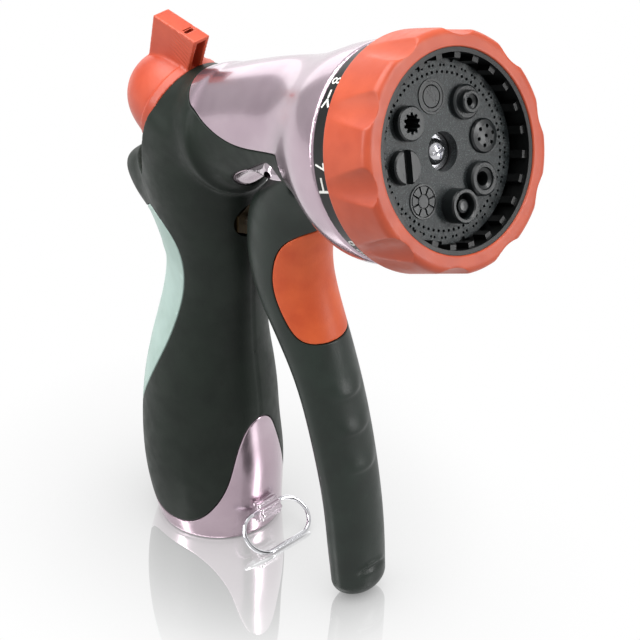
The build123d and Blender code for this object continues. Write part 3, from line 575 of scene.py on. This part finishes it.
def build_body(paints):
    points, faces = mesh_field(body_field, (-38, -34, -2), (89, 34, 191), 0.75)
    normals = normals_of(body_field, points)
    grip = np.minimum(along_surface(side_grip, points, normals),
                      along_surface(foot_grip, points, normals))
    grip = np.minimum(grip, along_surface(knob_side, points, normals))
    palm = along_surface(palm_side, points, normals)
    grip = np.minimum(np.minimum(grip, -palm), hinge_field(points) - 0.1)
    grip = np.minimum(grip, trigger_room(points) - 0.6)
    covers = np.maximum(grip, palm)

    shell_points, shell_faces = recessed_piece(body_field, points, faces, -covers, SKIN)
    shell = make("body_shell", shell_points, shell_faces, "body", paints["silver"], "body_silver", 42)
    subtract(shell, *socket_cutter())
    subtract(shell, *gland_cutter())
    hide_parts("nozzle_body")

    grip_points, grip_faces = skin_piece(body_field, points, faces, grip, SKIN - 0.05)
    grip_points[:, 0] -= front_seam(grip_points, side_grip(grip_points))
    skin = make("grip_skin", grip_points, grip_faces, "body", paints["grip"], "grip_green")
    subtract(skin, *gland_cutter())
    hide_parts("handle_grip")

    pad = make("palm_skin", *skin_piece(body_field, points, faces, palm, SKIN - 0.05), "body",
               paints["palm"], "palm_mint")
    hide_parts("palm_pad")

    # the hinge and the lug wear a lighter copy of the silver lacquer: a painted highlight
    make("hinge_block", *mesh_field(hinge_field, (22, -20.5, 130), (55, 20.5, 153), 0.5), "body",
         paints["bright"], "body_silver")
    make("ring_lug", *mesh_field(lug_field, (12, -6, 3), (27, 6, 15), 0.3), "body", paints["bright"],
         "body_silver")


def lug_field(points):
    """Fluted lug for the lock ring."""
    x, y, z = (points - LUG).T
    angle = np.arctan2(z, x)
    barrel = np.hypot(x, z) - LUG_R - 0.1 - 0.38 * np.cos(9 * angle)
    barrel = soft_max(barrel, np.abs(y) - LUG_HALF, 0.7)
    root = box(points, LUG - (3.4, 0, 0), (3.0, LUG_HALF - 0.9, LUG_R - 1.2)) - 0.5
    return soft_min(barrel, root, 0.8)


# --- trigger ---
def channel_field(points):
    """Open back of the lever, with the rib that pushes the valve stem left standing."""
    front = [(x + depth - CHANNEL_FRONT, z) for z, x, depth, _ in TRIGGER if z < PIVOT[2]]
    front[0] = (front[0][0], 9.0)
    outline = np.array([(0, 9.0)] + front + [(0, front[-1][1])])
    hollow = polygon(points[:, 0], points[:, 2], outline)
    hollow = soft_max(hollow, np.abs(points[:, 1]) - CHANNEL_HALF, 2.0)
    rib = box(points, (36, 0, STEM_Z), (10, 3, 5))
    return soft_max(hollow, -rib, 0.8)


def knuckle_slot(points):
    half = KNUCKLE_HALF + 0.3
    x, y, z = (points - PIVOT).T
    around = np.maximum(np.hypot(x, z) - 7.3, np.abs(y) - half)
    above = box(points, PIVOT + (-1, 0, 10), (8.9, half, 10))
    behind = box(points, PIVOT + (-12, 0, 1), (12, half, 9))
    return np.minimum(np.minimum(around, above), behind)


def trigger_outside(points):
    """Lever before it is hollowed: lofted sections with rounded ends and finger ridges."""
    x, y, z = points.T
    low, high = TRIGGER[0], TRIGGER[-1]
    shape = section_field(points, TRIGGER)
    tip = ellipsoid(points, (low[1], 0, low[0]), (low[2], low[3], low[0] - 0.3))
    cap = ellipsoid(points, (high[1], 0, high[0]), (high[2], high[3], CAP_H))
    shape = np.where(z < low[0], tip, np.where(z > high[0], cap, shape))
    centre = columns(TRIGGER, z)[0]
    front = np.clip((x - centre) / 5.0, 0, 1)
    for ridge in FINGER_RIDGES:
        rise = z - ridge - 0.02 * y * y
        bump = 0.55 * np.exp(-np.where(rise < 0, rise / 1.1, rise / 3.2) ** 2)
        shape = shape - bump * front * np.exp(-(y / 5.5) ** 4)
    lens_v = z - 11.5 + 0.035 * y * y
    lens = np.exp(-(lens_v / 1.15) ** 2) * np.exp(-(y / 4.6) ** 4)
    lip = np.exp(-((lens_v - 1.9) / 0.7) ** 2) * np.exp(-(y / 5.0) ** 4)
    return shape + (1.0 * lens - 0.5 * lip) * front


def trigger_field(points):
    x, y, z = points.T
    shape = soft_max(trigger_outside(points), -channel_field(points), 1.0)
    shape = soft_max(shape, -knuckle_slot(points), 0.8)
    from_pin = np.hypot(x - PIVOT[0], z - PIVOT[2])
    head_hole = np.maximum(from_pin - PIN_HEAD_R, PIN_HEAD_FROM - np.abs(y))
    pin_hole = np.minimum(from_pin - PIN_HOLE_R, head_hole)
    notch = np.hypot(x - CATCH_X, z - CATCH_Z) - CATCH_R
    return soft_max(soft_max(shape, -pin_hole, 0.3), -notch, 0.6)


def pad_side(points):
    """Positive inside the pad's side view, on the lever's outside only."""
    return -polygon(points[:, 0], points[:, 2], smooth_line(PAD_EDGE, closed=True))


def build_trigger(paints):
    points, faces = mesh_field(trigger_field, (17, -12.5, -1), (70, 12.5, 147), 0.55)
    normals = normals_of(trigger_field, points)
    region = along_surface(pad_side, points, normals)
    region = np.minimum(region, 0.5 - np.abs(trigger_outside(points)) * 6)
    lever = make("lever_body", *recessed_piece(trigger_field, points, faces, -region, PAD_DEPTH),
                 "trigger", paints["lever"], "trigger_green")
    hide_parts("trigger_lever")
    pad = make("lever_pad", *skin_piece(trigger_field, points, faces, region, PAD_DEPTH - 0.05),
               "trigger", paints["pad"], "pad_orange")
    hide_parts("trigger_pad")


# --- return spring ---
SPRING_START, SPRING_LENGTH = -15.9, 12.3
SPRING_R, SPRING_WIRE, SPRING_TURNS = 4.6, 0.55, 6
SPRING_CLOSED = 0.12         # share of the coil at each end whose turns lie close together


def build_spring(paints):
    """Valve return spring with closed ends, built at one fixed length; the real spring shortens as the stem
    moves back.
    """
    count, around = 40 * SPRING_TURNS, 12
    out, along = circle(SPRING_WIRE, around)
    rings = []
    for i in range(count + 1):
        t = i / count
        pitch = np.clip((t - SPRING_CLOSED) / (1 - 2 * SPRING_CLOSED), 0, 1)
        closed = min(t / SPRING_CLOSED, 1) + max((t - 1 + SPRING_CLOSED) / SPRING_CLOSED, 0)
        middle = SPRING_WIRE * (1 + 1.6 * closed) + (SPRING_LENGTH - 5.2 * SPRING_WIRE) * pitch
        turn = 2 * pi * SPRING_TURNS * t
        radius = SPRING_R + out
        rings.append(np.stack([SPRING_START + middle + along, radius * cos(turn),
                               STEM_Z + radius * sin(turn)], 1))
    points, faces = tube(rings)
    spring = make("return_spring", points, faces, "body", paints["steel"], "steel")
    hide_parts("valve_spring")
    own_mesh(spring)


# --- knob ---
def knob_field(points):
    """Domed knob with a flange and a ribbed fin, in world points."""
    local = into(points, KNOB)
    u, v, w = local.T
    outline = np.concatenate([[(-KNOB_R, 0.15), (KNOB_R, 0.15), (KNOB_R, 3.0)], smooth_line(KNOB_PROFILE)])
    outline = np.concatenate([outline, smooth_line(KNOB_PROFILE)[::-1] * (-1, 1), [(-KNOB_R, 3.0)]])
    dome = polygon(np.hypot(u, v), w, outline)
    fin_side = polygon(v, w, np.array(FIN_OUTLINE))
    fin = soft_max(fin_side + 0.6, np.abs(u) - FIN_HALF + 0.6, 0.4) - 0.6
    across = v - 0.18 * (w - 5.0) - 15.4
    rows = np.abs(((across / 1.3) % 1.0) - 0.5) * 2
    ribbed = np.exp(-((w - 4.6) / 4.0) ** 6) * ((across > 0) & (across < 1.3 * 7))
    fin = fin + 0.3 * ribbed * rows ** 3 * np.clip((np.abs(u) - 1.6) / 0.6, 0, 1)
    shape = soft_min(dome, fin, 0.7)
    window = box(local, (0, 19.1, 2.4), (1.7, 5.6, 4.6))
    return soft_max(shape, -window, 0.3)


def build_knob(paints):
    corners = out_of([(u, v, w) for u in (-15.3, 15.3) for v in (-15.3, 26.6) for w in (-0.5, 20)], KNOB)
    knob = make("knob_cap", *mesh_field(knob_field, corners.min(0), corners.max(0), 0.42), "knob",
                paints["knob"], "knob_orange", 60)
    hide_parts("flow_knob")


# --- dial ---
def polar(radius, angle, back):
    """World point of a place on the dial: angle runs from up towards +Y."""
    return out_of(np.stack([radius * np.sin(angle), radius * np.cos(angle), -back], -1), DIAL)


def bumper_profile():
    """Closed radius and back-distance outline with rounded edges."""
    corners = [(RIM_R - 0.05, 0.0, 0.5), (BUMPER_R, 0.0, 2.2), (BUMPER_R, BUMPER_BACK, 0.9),
               (RIM_R - 0.05, BUMPER_BACK, 0.2)]
    outline = []
    directions = [(90, 180), (0, 90), (-90, 0), (-180, -90)]
    for (r, s, round_by), (low, high) in zip(corners, directions):
        centre_r = r + round_by if r < 30 else r - round_by
        centre_s = s + round_by if s < 9 else s - round_by
        for i in range(7):
            turn = radians(high + (low - high) * i / 6)
            outline.append((centre_r + round_by * cos(turn), centre_s - round_by * sin(turn)))
    dense = []
    for (r0, s0), (r1, s1) in zip(outline, outline[1:] + outline[:1]):
        steps = max(1, int(np.hypot(r1 - r0, s1 - s0) / 0.6))
        dense += [(r0 + (r1 - r0) * i / steps, s0 + (s1 - s0) * i / steps) for i in range(steps)]
    return np.array(dense)


def build_bumper(paints):
    profile = bumper_profile()
    radius, back = profile.T
    lean = NOTCH_R + BUMPER_R - NOTCH_DEPTH + np.tan(NOTCH_LEAN) * back
    rings = []
    steps = 900
    for i in range(steps):
        angle = 2 * pi * i / steps
        pitch = 2 * pi / LOBES
        off = (angle - NOTCH_START + pitch / 2) % pitch - pitch / 2
        reach = NOTCH_R ** 2 - (lean * np.sin(off)) ** 2
        limit = np.where(reach > 0, lean * np.cos(off) - np.sqrt(np.maximum(reach, 0)), 99.0)
        outer = np.where(radius > 30, soft_min(radius, limit, 0.35), radius)
        outer = np.where(limit > radius + 0.3, radius, outer)
        rings.append(polar(outer, np.full(len(outer), angle), back))
    points, faces = tube(rings, closed=True)
    bumper = make("bumper_soft", points, [f[::-1] for f in faces], "dial", paints["coral"], "coral", 40)
    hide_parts("bumper_ring")


# --- marks on the dial's band: a numeral and a small sign of each spray pattern ---
FIRST_OUTLET, OUTLET_STEP = radians(4.5), radians(45)
MARK_T, STROKE_W, NUMERAL_SIZE = 0.14, 0.65, 4.9
# bars of each sign: x0, y0, x1, y1, with x running round the band and y towards the front
SIGNS = [
    [(0, 0, 5, 1.5), (0, 0, 5, 0), (0, 0, 5, -1.5)],
    [(0, 0, 6, 0)],
    [(i * 1.4, h * (0.3 + i * 0.42), i * 1.4 + 0.5, h * (0.3 + i * 0.42))
     for i in range(4) for h in (-1, 0, 1)],
    [(0, 0.7, 5.5, 0.7), (0, -0.7, 5.5, -0.7)],
    [(0, 0, 5, 1.6), (0, 0, 5, -1.6)],
    [(1.2 * i, 1.1 * h * (-1) ** i, 1.2 * i + 0.4, 1.1 * h * (-1) ** i)
     for i in range(5) for h in (-1, 0.2, 1)],
    [(0, 0, 3.4, 0), (3.8, -1.7, 3.8, 1.7)],
    [(0, 0, 2.2, 0), (2.8, 0, 5.0, 1.3), (2.8, 0, 5.0, -1.3)],
]


def on_band(x, y, lift, start):
    """World points of places on the band: x runs round it, y towards the front, lift out of it."""
    middle = (BUMPER_BACK + BAND_BACK) / 2 + 0.95
    return polar(BAND_R + lift, start - x / BAND_R, middle - y)


def stroke(x0, y0, x1, y1, start):
    """A raised bar on the band."""
    along = np.array([x1 - x0, y1 - y0], float)
    along /= np.linalg.norm(along)
    side = np.array([-along[1], along[0]]) * STROKE_W / 2
    ends = np.array([(x0, y0), (x1, y1)]) + np.array([-along, along]) * STROKE_W / 4
    flat = np.array([ends[0] - side, ends[1] - side, ends[1] + side, ends[0] + side])
    points = [on_band(flat[:, 0], flat[:, 1], np.full(4, lift), start) for lift in (-0.03, MARK_T)]
    faces = [(3, 2, 1, 0), (4, 5, 6, 7)] + [(i, (i + 1) % 4, (i + 1) % 4 + 4, i + 4) for i in range(4)]
    return np.concatenate(points), faces


def numeral(text, start):
    """A raised numeral on the band."""
    curve = bpy.data.curves.new("numeral", "FONT")
    curve.body, curve.size, curve.extrude = text, NUMERAL_SIZE, 0.5
    curve.align_y = "CENTER"
    holder = new_object("numeral", curve)
    mesh = final_mesh(holder)
    flat = np.array([v.co for v in mesh.vertices])
    faces = [tuple(p.vertices) for p in mesh.polygons]
    bpy.data.objects.remove(holder)
    lift = np.where(flat[:, 2] > 0, MARK_T, -0.03)
    return on_band(flat[:, 0], flat[:, 1], lift, start), faces


def build_marks(paints):
    points, faces, count = [], [], 0
    for index, sign in enumerate(SIGNS):
        start = FIRST_OUTLET + OUTLET_STEP * index + 6.0 / BAND_R
        shapes = [numeral(str(index + 1), start)]
        shapes += [stroke(x0, y0, x1, y1, start - 4.4 / BAND_R) for x0, y0, x1, y1 in sign]
        for shape_points, shape_faces in shapes:
            points.append(shape_points)
            faces += [tuple(i + count for i in face) for face in shape_faces]
            count += len(shape_points)
    make("band_marks", np.concatenate(points), faces, "dial", paints["mark"], None, 30)


# --- materials ---
def rgb(red, green, blue):
    """Linear colour from 0-255 display values."""
    parts = [c / 255 for c in (red, green, blue)]
    return tuple(c / 12.92 if c <= 0.04045 else ((c + 0.055) / 1.055) ** 2.4 for c in parts) + (1.0,)


class Nodes:
    """Adds the nodes of one tree and joins them."""

    def __init__(self, owner):
        owner.use_nodes = True
        self.tree = owner.node_tree

    def add(self, kind, **settings):
        node = self.tree.nodes.new(kind)
        for key, value in settings.items():
            setattr(node, key, value)
        return node

    def join(self, start, end):
        self.tree.links.new(start, end)

    def fill(self, slot, value):
        if isinstance(value, (int, float, tuple)):
            slot.default_value = value
        else:
            self.join(value, slot)

    def spread(self, value, low, high, out_low, out_high, curve="LINEAR"):
        node = self.add("ShaderNodeMapRange", interpolation_type=curve)
        numbers = {"From Min": low, "From Max": high, "To Min": out_low, "To Max": out_high}
        for key, number in numbers.items():
            node.inputs[key].default_value = number
        self.join(value, node.inputs["Value"])
        return node.outputs["Result"]

    def math(self, operation, *values):
        node = self.add("ShaderNodeMath", operation=operation)
        for slot, value in zip(node.inputs, values):
            self.fill(slot, value)
        return node.outputs[0]


class Paint(Nodes):
    """A node material built round one Principled shader; textures are set in millimetres."""

    def __init__(self, name, **inputs):
        self.material = bpy.data.materials.new(name)
        super().__init__(self.material)
        self.shader = self.tree.nodes["Principled BSDF"]
        for key, value in inputs.items():
            self.shader.inputs[key.replace("_", " ")].default_value = value
        self.place = self.add("ShaderNodeTexCoord").outputs["Object"]

    def noise(self, size, detail=2.0, roughness=0.5):
        """Soft random value with blobs of about a size in millimetres."""
        node = self.add("ShaderNodeTexNoise")
        node.inputs["Scale"].default_value = 1000 / size
        node.inputs["Detail"].default_value = detail
        node.inputs["Roughness"].default_value = roughness
        self.join(self.place, node.inputs["Vector"])
        return node.outputs["Fac"]

    def spots(self, size):
        """Distance from the middle inside cells of about a size in millimetres."""
        node = self.add("ShaderNodeTexVoronoi")
        node.inputs["Scale"].default_value = 1000 / size
        self.join(self.place, node.inputs["Vector"])
        return node.outputs["Distance"]

    def mix(self, share, first, second):
        node = self.add("ShaderNodeMix", data_type="RGBA")
        for slot, value in zip((0, 6, 7), (share, first, second)):
            self.fill(node.inputs[slot], value)
        return node.outputs[2]

    def color(self, value):
        self.join(value, self.shader.inputs["Base Color"])
        return self

    def rough(self, value):
        self.join(value, self.shader.inputs["Roughness"])
        return self

    def bump(self, height, depth, edge=0.0):
        """Relief of a depth in millimetres; edge softens hard CAD edges by a radius in millimetres."""
        node = self.add("ShaderNodeBump")
        node.inputs["Distance"].default_value = depth * MM
        self.join(height, node.inputs["Height"])
        if edge:
            soft = self.add("ShaderNodeBevel", samples=4)
            soft.inputs["Radius"].default_value = edge * MM
            self.join(soft.outputs[0], node.inputs["Normal"])
        self.join(node.outputs[0], self.shader.inputs["Normal"])
        return self

    def worn_edges(self, color, worn, amount):
        """Lighter colour on convex edges, broken up by noise."""
        edge = self.add("ShaderNodeNewGeometry").outputs["Pointiness"]
        mask = self.math("MULTIPLY", self.spread(edge, 0.51, 0.58, 0, amount), self.noise(1.6, 4))
        return self.mix(mask, color, worn)


def moulded(name, dark, light, rough, grain, depth, edge=0.0, wear=0.35, shine=0.5):
    """Moulded rubber or plastic: mottled colour, fine grain, uneven gloss and lightly rubbed edges."""
    paint = Paint(name, Specular_IOR_Level=shine)
    base = paint.mix(paint.spread(paint.noise(9, 3), 0.35, 0.65, 0, 1), rgb(*dark), rgb(*light))
    rubbed = tuple(min(255, c * 1.18 + 12) for c in light)
    paint.color(paint.worn_edges(base, rgb(*rubbed), wear))
    paint.rough(paint.spread(paint.noise(4, 4), 0.3, 0.7, rough - 0.05, rough + 0.07))
    fine = paint.math("ADD", paint.noise(grain, 3, 0.6), paint.math("MULTIPLY", paint.noise(6, 2), 0.6))
    return paint.bump(fine, depth, edge).material


def lacquer(name, dark, light, rough, flake, coat, coat_rough):
    """Metallic lacquer: fine bright flakes, faint cast waviness under a clear coat."""
    paint = Paint(name, Metallic=0.85, Coat_Weight=coat, Coat_Roughness=coat_rough)
    base = paint.mix(paint.spread(paint.noise(14, 2), 0.35, 0.65, 0, 1), rgb(*dark), rgb(*light))
    speck = paint.spread(paint.spots(flake), 0.0, 0.35, 1, 0)
    glint = paint.math("MULTIPLY", speck, paint.spread(paint.noise(flake * 2.5, 1), 0.5, 0.8, 0, 0.3))
    paint.color(paint.mix(glint, base, rgb(216, 204, 214)))
    paint.rough(paint.spread(paint.noise(flake * 6, 2), 0.3, 0.7, rough - 0.02, rough + 0.03))
    return paint.bump(paint.noise(7, 2), 0.02).material


def bare_metal(name, tint, rough, edge=0.0):
    """Polished or turned metal with a fine, unevenly glossy grain."""
    paint = Paint(name, Metallic=1.0)
    lines = paint.noise(0.5, 3, 0.7)
    paint.color(paint.mix(paint.spread(paint.noise(5, 3), 0.3, 0.7, 0, 0.6), rgb(*tint),
                          rgb(*[c * 0.86 for c in tint])))
    paint.rough(paint.spread(lines, 0.3, 0.75, rough * 0.7, rough * 1.6 + 0.02))
    return paint.bump(lines, 0.004, edge).material


def plate_paint():
    """Speckled dark plate with faint streaks running out from its middle."""
    paint = Paint("plate_speckle", Specular_IOR_Level=0.45)
    centre = paint.add("ShaderNodeVectorMath", operation="SUBTRACT")
    paint.join(paint.place, centre.inputs[0])
    centre.inputs[1].default_value = tuple(DIAL[0] * MM)
    split = paint.add("ShaderNodeSeparateXYZ")
    turned = paint.add("ShaderNodeVectorRotate", rotation_type="Y_AXIS")
    turned.inputs["Angle"].default_value = DIAL_TILT - pi / 2
    paint.join(centre.outputs[0], turned.inputs[0])
    paint.join(turned.outputs[0], split.inputs[0])
    angle = paint.math("ARCTAN2", split.outputs[1], split.outputs[0])
    streak = paint.add("ShaderNodeTexNoise", noise_dimensions="1D")
    streak.inputs["Scale"].default_value = 22.0
    streak.inputs["Detail"].default_value = 3.0
    paint.join(angle, streak.inputs["W"])
    base = paint.mix(paint.spread(streak.outputs["Fac"], 0.35, 0.7, 0, 1), rgb(14, 18, 19), rgb(30, 36, 38))
    fleck = paint.spread(paint.noise(0.35, 2), 0.56, 0.66, 0, 0.55)
    paint.color(paint.mix(fleck, base, rgb(84, 96, 96)))
    paint.rough(paint.spread(paint.noise(0.5, 2), 0.3, 0.7, 0.36, 0.6))
    return paint.bump(paint.noise(0.45, 3), 0.06, 0.12).material


def make_paints():
    return {
        "silver": lacquer("silver_lacquer", (178, 157, 169), (189, 169, 180), 0.23, 0.5, 0.6, 0.05),
        # painted highlight: a lighter, glossier copy of the silver lacquer, used on the hinge and the lug
        "bright": lacquer("highlit_silver_lacquer", (190, 176, 185), (202, 190, 198), 0.1, 0.5, 0.7, 0.03),
        "grip": moulded("grip_rubber", (21, 28, 23), (27, 35, 29), 0.48, 0.5, 0.035, shine=0.22),
        "palm": moulded("palm_rubber", (166, 188, 180), (178, 200, 193), 0.5, 0.6, 0.03, shine=0.4),
        "lever": moulded("lever_rubber", (24, 32, 27), (31, 41, 35), 0.36, 0.45, 0.03, shine=0.35),
        "pad": moulded("pad_rubber", (200, 78, 34), (214, 92, 44), 0.4, 0.6, 0.045, shine=0.45),
        "coral": moulded("coral_elastomer", (176, 68, 38), (188, 78, 46), 0.42, 0.8, 0.02),
        "knob": moulded("knob_plastic", (178, 66, 40), (192, 78, 50), 0.36, 0.9, 0.015),
        "black": moulded("dial_plastic", (6, 7, 7), (9, 10, 10), 0.34, 0.6, 0.01, 0.2, 0.04, 0.35),
        "band": moulded("band_plastic", (9, 10, 10), (13, 15, 14), 0.34, 0.5, 0.012, 0.15, shine=0.35),
        "outlet": moulded("outlet_plastic", (14, 17, 18), (22, 26, 27), 0.3, 0.4, 0.015, 0.12),
        "mark": moulded("mark_ink", (226, 228, 222), (240, 240, 236), 0.5, 0.3, 0.01, 0.0, 0.0),
        "valve": moulded("valve_plastic", (196, 196, 188), (210, 210, 202), 0.4, 0.6, 0.01, 0.12),
        "rubber": moulded("seal_rubber", (22, 22, 23), (32, 32, 33), 0.55, 0.5, 0.02, 0.15),
        "plate": plate_paint(),
        "chrome": bare_metal("chrome_wire", (232, 232, 236), 0.06),
        "steel": bare_metal("bright_steel", (206, 206, 210), 0.18, 0.1),
        "mesh": bare_metal("screen_steel", (180, 182, 184), 0.3, 0.08),
        "brass": bare_metal("turned_brass", (70, 58, 38), 0.42, 0.12),
    }


# CAD nodes that are shown as they are, by paint
CARRIED = {
    "rubber": ("hose_washer", "valve_seal", "stem_seal", "spool_oring", "port_seal"),
    "mesh": ("filter_screen",),
    "chrome": ("lock_ring",),
    "steel": ("trigger_pin", "port_spring", "click_spring", "spool_circlip", "face_screw",
              "face_washer", "valve_stem"),
    "brass": ("packing_nut",),
    "valve": ("flow_spool",),
    "black": ("turret_shell",),
    "band": ("index_ring",),
    "plate": ("face_plate",),
    "outlet": ("outlet_full", "outlet_jet", "outlet_shower", "outlet_stub", "outlet_cone", "outlet_mist",
               "outlet_flat", "outlet_rinse"),
}


def dress_frame(paints):
    for paint, names in CARRIED.items():
        for name in names:
            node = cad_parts[name]
            for place in node.material_slots:
                place.material = paints[paint]


# --- stage, in metres ---
SKY_LOW, SKY_TOP = 0.3, 0.62
CARD_LIGHT = 1.1             # bright card behind the object, seen from the camera's side
GLOSSY_BOOST = 0.35
MIRRORED_SKY = 0.73          # brightness of the sky that the floor mirrors towards the camera
MIRROR_SHARE, MIRROR_FULL_TO, MIRROR_GONE_AT = 0.52, 0.025, 0.078
FLOOR_MIDDLE, FLOOR_HALF, FLOOR_Z = (0.022, 0.0, 0.0), 3.0, -0.0002
# reach and strength of the painted shadow that ambient occlusion lays on the floor's glow
PAINTED_SHADOW_REACH, PAINTED_SHADOW_POWER = 0.07, 0.55
LIGHT_TARGET = Vector((0.03, 0, 0.09))


def floor_paint():
    """Plain white glow, darkened close under the object by a painted shadow from ambient occlusion, with a
    mirror that fades out round it.
    """
    material = bpy.data.materials.new("studio_floor")
    nodes = Nodes(material)
    nodes.tree.nodes.remove(nodes.tree.nodes["Principled BSDF"])
    distance = nodes.add("ShaderNodeVectorMath", operation="DISTANCE")
    distance.inputs[1].default_value = FLOOR_MIDDLE
    nodes.join(nodes.add("ShaderNodeTexCoord").outputs["Object"], distance.inputs[0])
    fade = nodes.spread(distance.outputs["Value"], MIRROR_FULL_TO, MIRROR_GONE_AT, MIRROR_SHARE, 0.0,
                        "SMOOTHSTEP")
    mirror = nodes.add("ShaderNodeBsdfGlossy")
    mirror.inputs["Roughness"].default_value = 0.03
    share = nodes.add("ShaderNodeMixShader")
    nodes.join(fade, share.inputs[0])
    nodes.join(mirror.outputs[0], share.inputs[2])
    # painted shadow: ambient occlusion darkens the glow close under the object
    near = nodes.add("ShaderNodeAmbientOcclusion", samples=12)
    near.inputs["Distance"].default_value = PAINTED_SHADOW_REACH
    diffuse = nodes.add("ShaderNodeLightPath").outputs["Is Diffuse Ray"]
    shade = nodes.math("POWER", near.outputs["AO"], PAINTED_SHADOW_POWER)
    plain = nodes.math("MULTIPLY", nodes.math("MULTIPLY_ADD", fade, -MIRRORED_SKY, 1.0), shade)
    glow = nodes.add("ShaderNodeEmission")
    nodes.join(nodes.math("MULTIPLY", plain, nodes.math("MULTIPLY_ADD", diffuse, -0.5, 1.0)),
               glow.inputs["Strength"])
    total = nodes.add("ShaderNodeAddShader")
    nodes.join(glow.outputs[0], total.inputs[0])
    nodes.join(share.outputs[0], total.inputs[1])
    nodes.join(total.outputs[0], nodes.tree.nodes["Material Output"].inputs["Surface"])
    return material


def build_floor():
    corners = [(x * FLOOR_HALF, y * FLOOR_HALF, 0) for x, y in ((-1, -1), (1, -1), (1, 1), (-1, 1))]
    mesh = bpy.data.meshes.new("floor")
    mesh.from_pydata(corners, [], [(0, 1, 2, 3)])
    mesh.materials.append(floor_paint())
    floor = new_object("floor", mesh)
    floor.location.z = FLOOR_Z


def soft_light(name, place, size, power):
    light = bpy.data.lights.new(name, "AREA")
    light.shape, light.size, light.size_y = "RECTANGLE", size[0], size[1]
    light.energy = power
    lamp = new_object(name, light)
    lamp.location = place
    lamp.rotation_euler = (LIGHT_TARGET - Vector(place)).to_track_quat("-Z", "Y").to_euler()


def build_sky():
    """White studio surround, darker low down and with a bright card behind, so that metal shows bands."""
    world = bpy.data.worlds.new("studio")
    bpy.context.scene.world = world
    nodes = Nodes(world)
    direction = nodes.add("ShaderNodeTexCoord").outputs["Generated"]
    split = nodes.add("ShaderNodeSeparateXYZ")
    nodes.join(direction, split.inputs[0])
    up = split.outputs["Z"]
    backwards = nodes.add("ShaderNodeVectorMath", operation="DOT_PRODUCT")
    backwards.inputs[1].default_value = (-0.707, 0.707, 0)
    nodes.join(direction, backwards.inputs[0])
    card = nodes.math("MULTIPLY",
                      nodes.spread(backwards.outputs["Value"], 0.81, 0.86, 0.0, CARD_LIGHT, "SMOOTHSTEP"),
                      nodes.spread(up, 0.3, 0.4, 1.0, 0.0, "SMOOTHSTEP"))
    dome = nodes.spread(up, -0.1, 0.85, SKY_LOW, SKY_TOP, "SMOOTHSTEP")
    path = nodes.add("ShaderNodeLightPath")
    shine = nodes.math("MULTIPLY_ADD", path.outputs["Is Glossy Ray"], GLOSSY_BOOST, 1.0)
    mixer = nodes.add("ShaderNodeMix")
    nodes.join(path.outputs["Is Camera Ray"], mixer.inputs[0])
    nodes.join(nodes.math("MULTIPLY", nodes.math("ADD", card, dome), shine), mixer.inputs[2])
    mixer.inputs[3].default_value = 1.0
    background = nodes.tree.nodes["Background"]
    background.inputs["Color"].default_value = (1, 1, 1, 1)
    nodes.join(mixer.outputs[0], background.inputs["Strength"])


CAMERA_AZIMUTH, CAMERA_ELEVATION = radians(45.03), radians(33.43)
CAMERA_DISTANCE, CAMERA_TARGET = 0.87594, Vector((0.04466, 0.0, 0.09016))
CAMERA_LENS, CAMERA_SENSOR = 168.75, 36.0


def build_stage():
    build_floor()
    build_sky()
    soft_light("top_softbox", (-0.15, -0.1, 0.8), (0.7, 0.7), 7)
    soft_light("front_strip", (0.7, 0.35, 0.4), (0.15, 0.7), 4)
    soft_light("side_strip", (-0.3, -0.7, 0.5), (0.2, 0.6), 3)
    camera = bpy.data.cameras.new("camera")
    camera.lens, camera.sensor_width = CAMERA_LENS, CAMERA_SENSOR
    camera.clip_start, camera.clip_end = 0.05, 20.0
    view = new_object("camera", camera)
    level = cos(CAMERA_ELEVATION)
    back = Vector((sin(CAMERA_AZIMUTH) * level, -cos(CAMERA_AZIMUTH) * level, sin(CAMERA_ELEVATION)))
    view.location = CAMERA_TARGET + back * CAMERA_DISTANCE
    view.rotation_euler = (-back).to_track_quat("-Z", "Y").to_euler()
    bpy.context.scene.camera = view
    bpy.context.scene.view_settings.view_transform = "Standard"


PAINTS = make_paints()
dress_frame(PAINTS)
build_body(PAINTS)
build_trigger(PAINTS)
build_spring(PAINTS)
build_knob(PAINTS)
build_bumper(PAINTS)
build_marks(PAINTS)
build_stage()
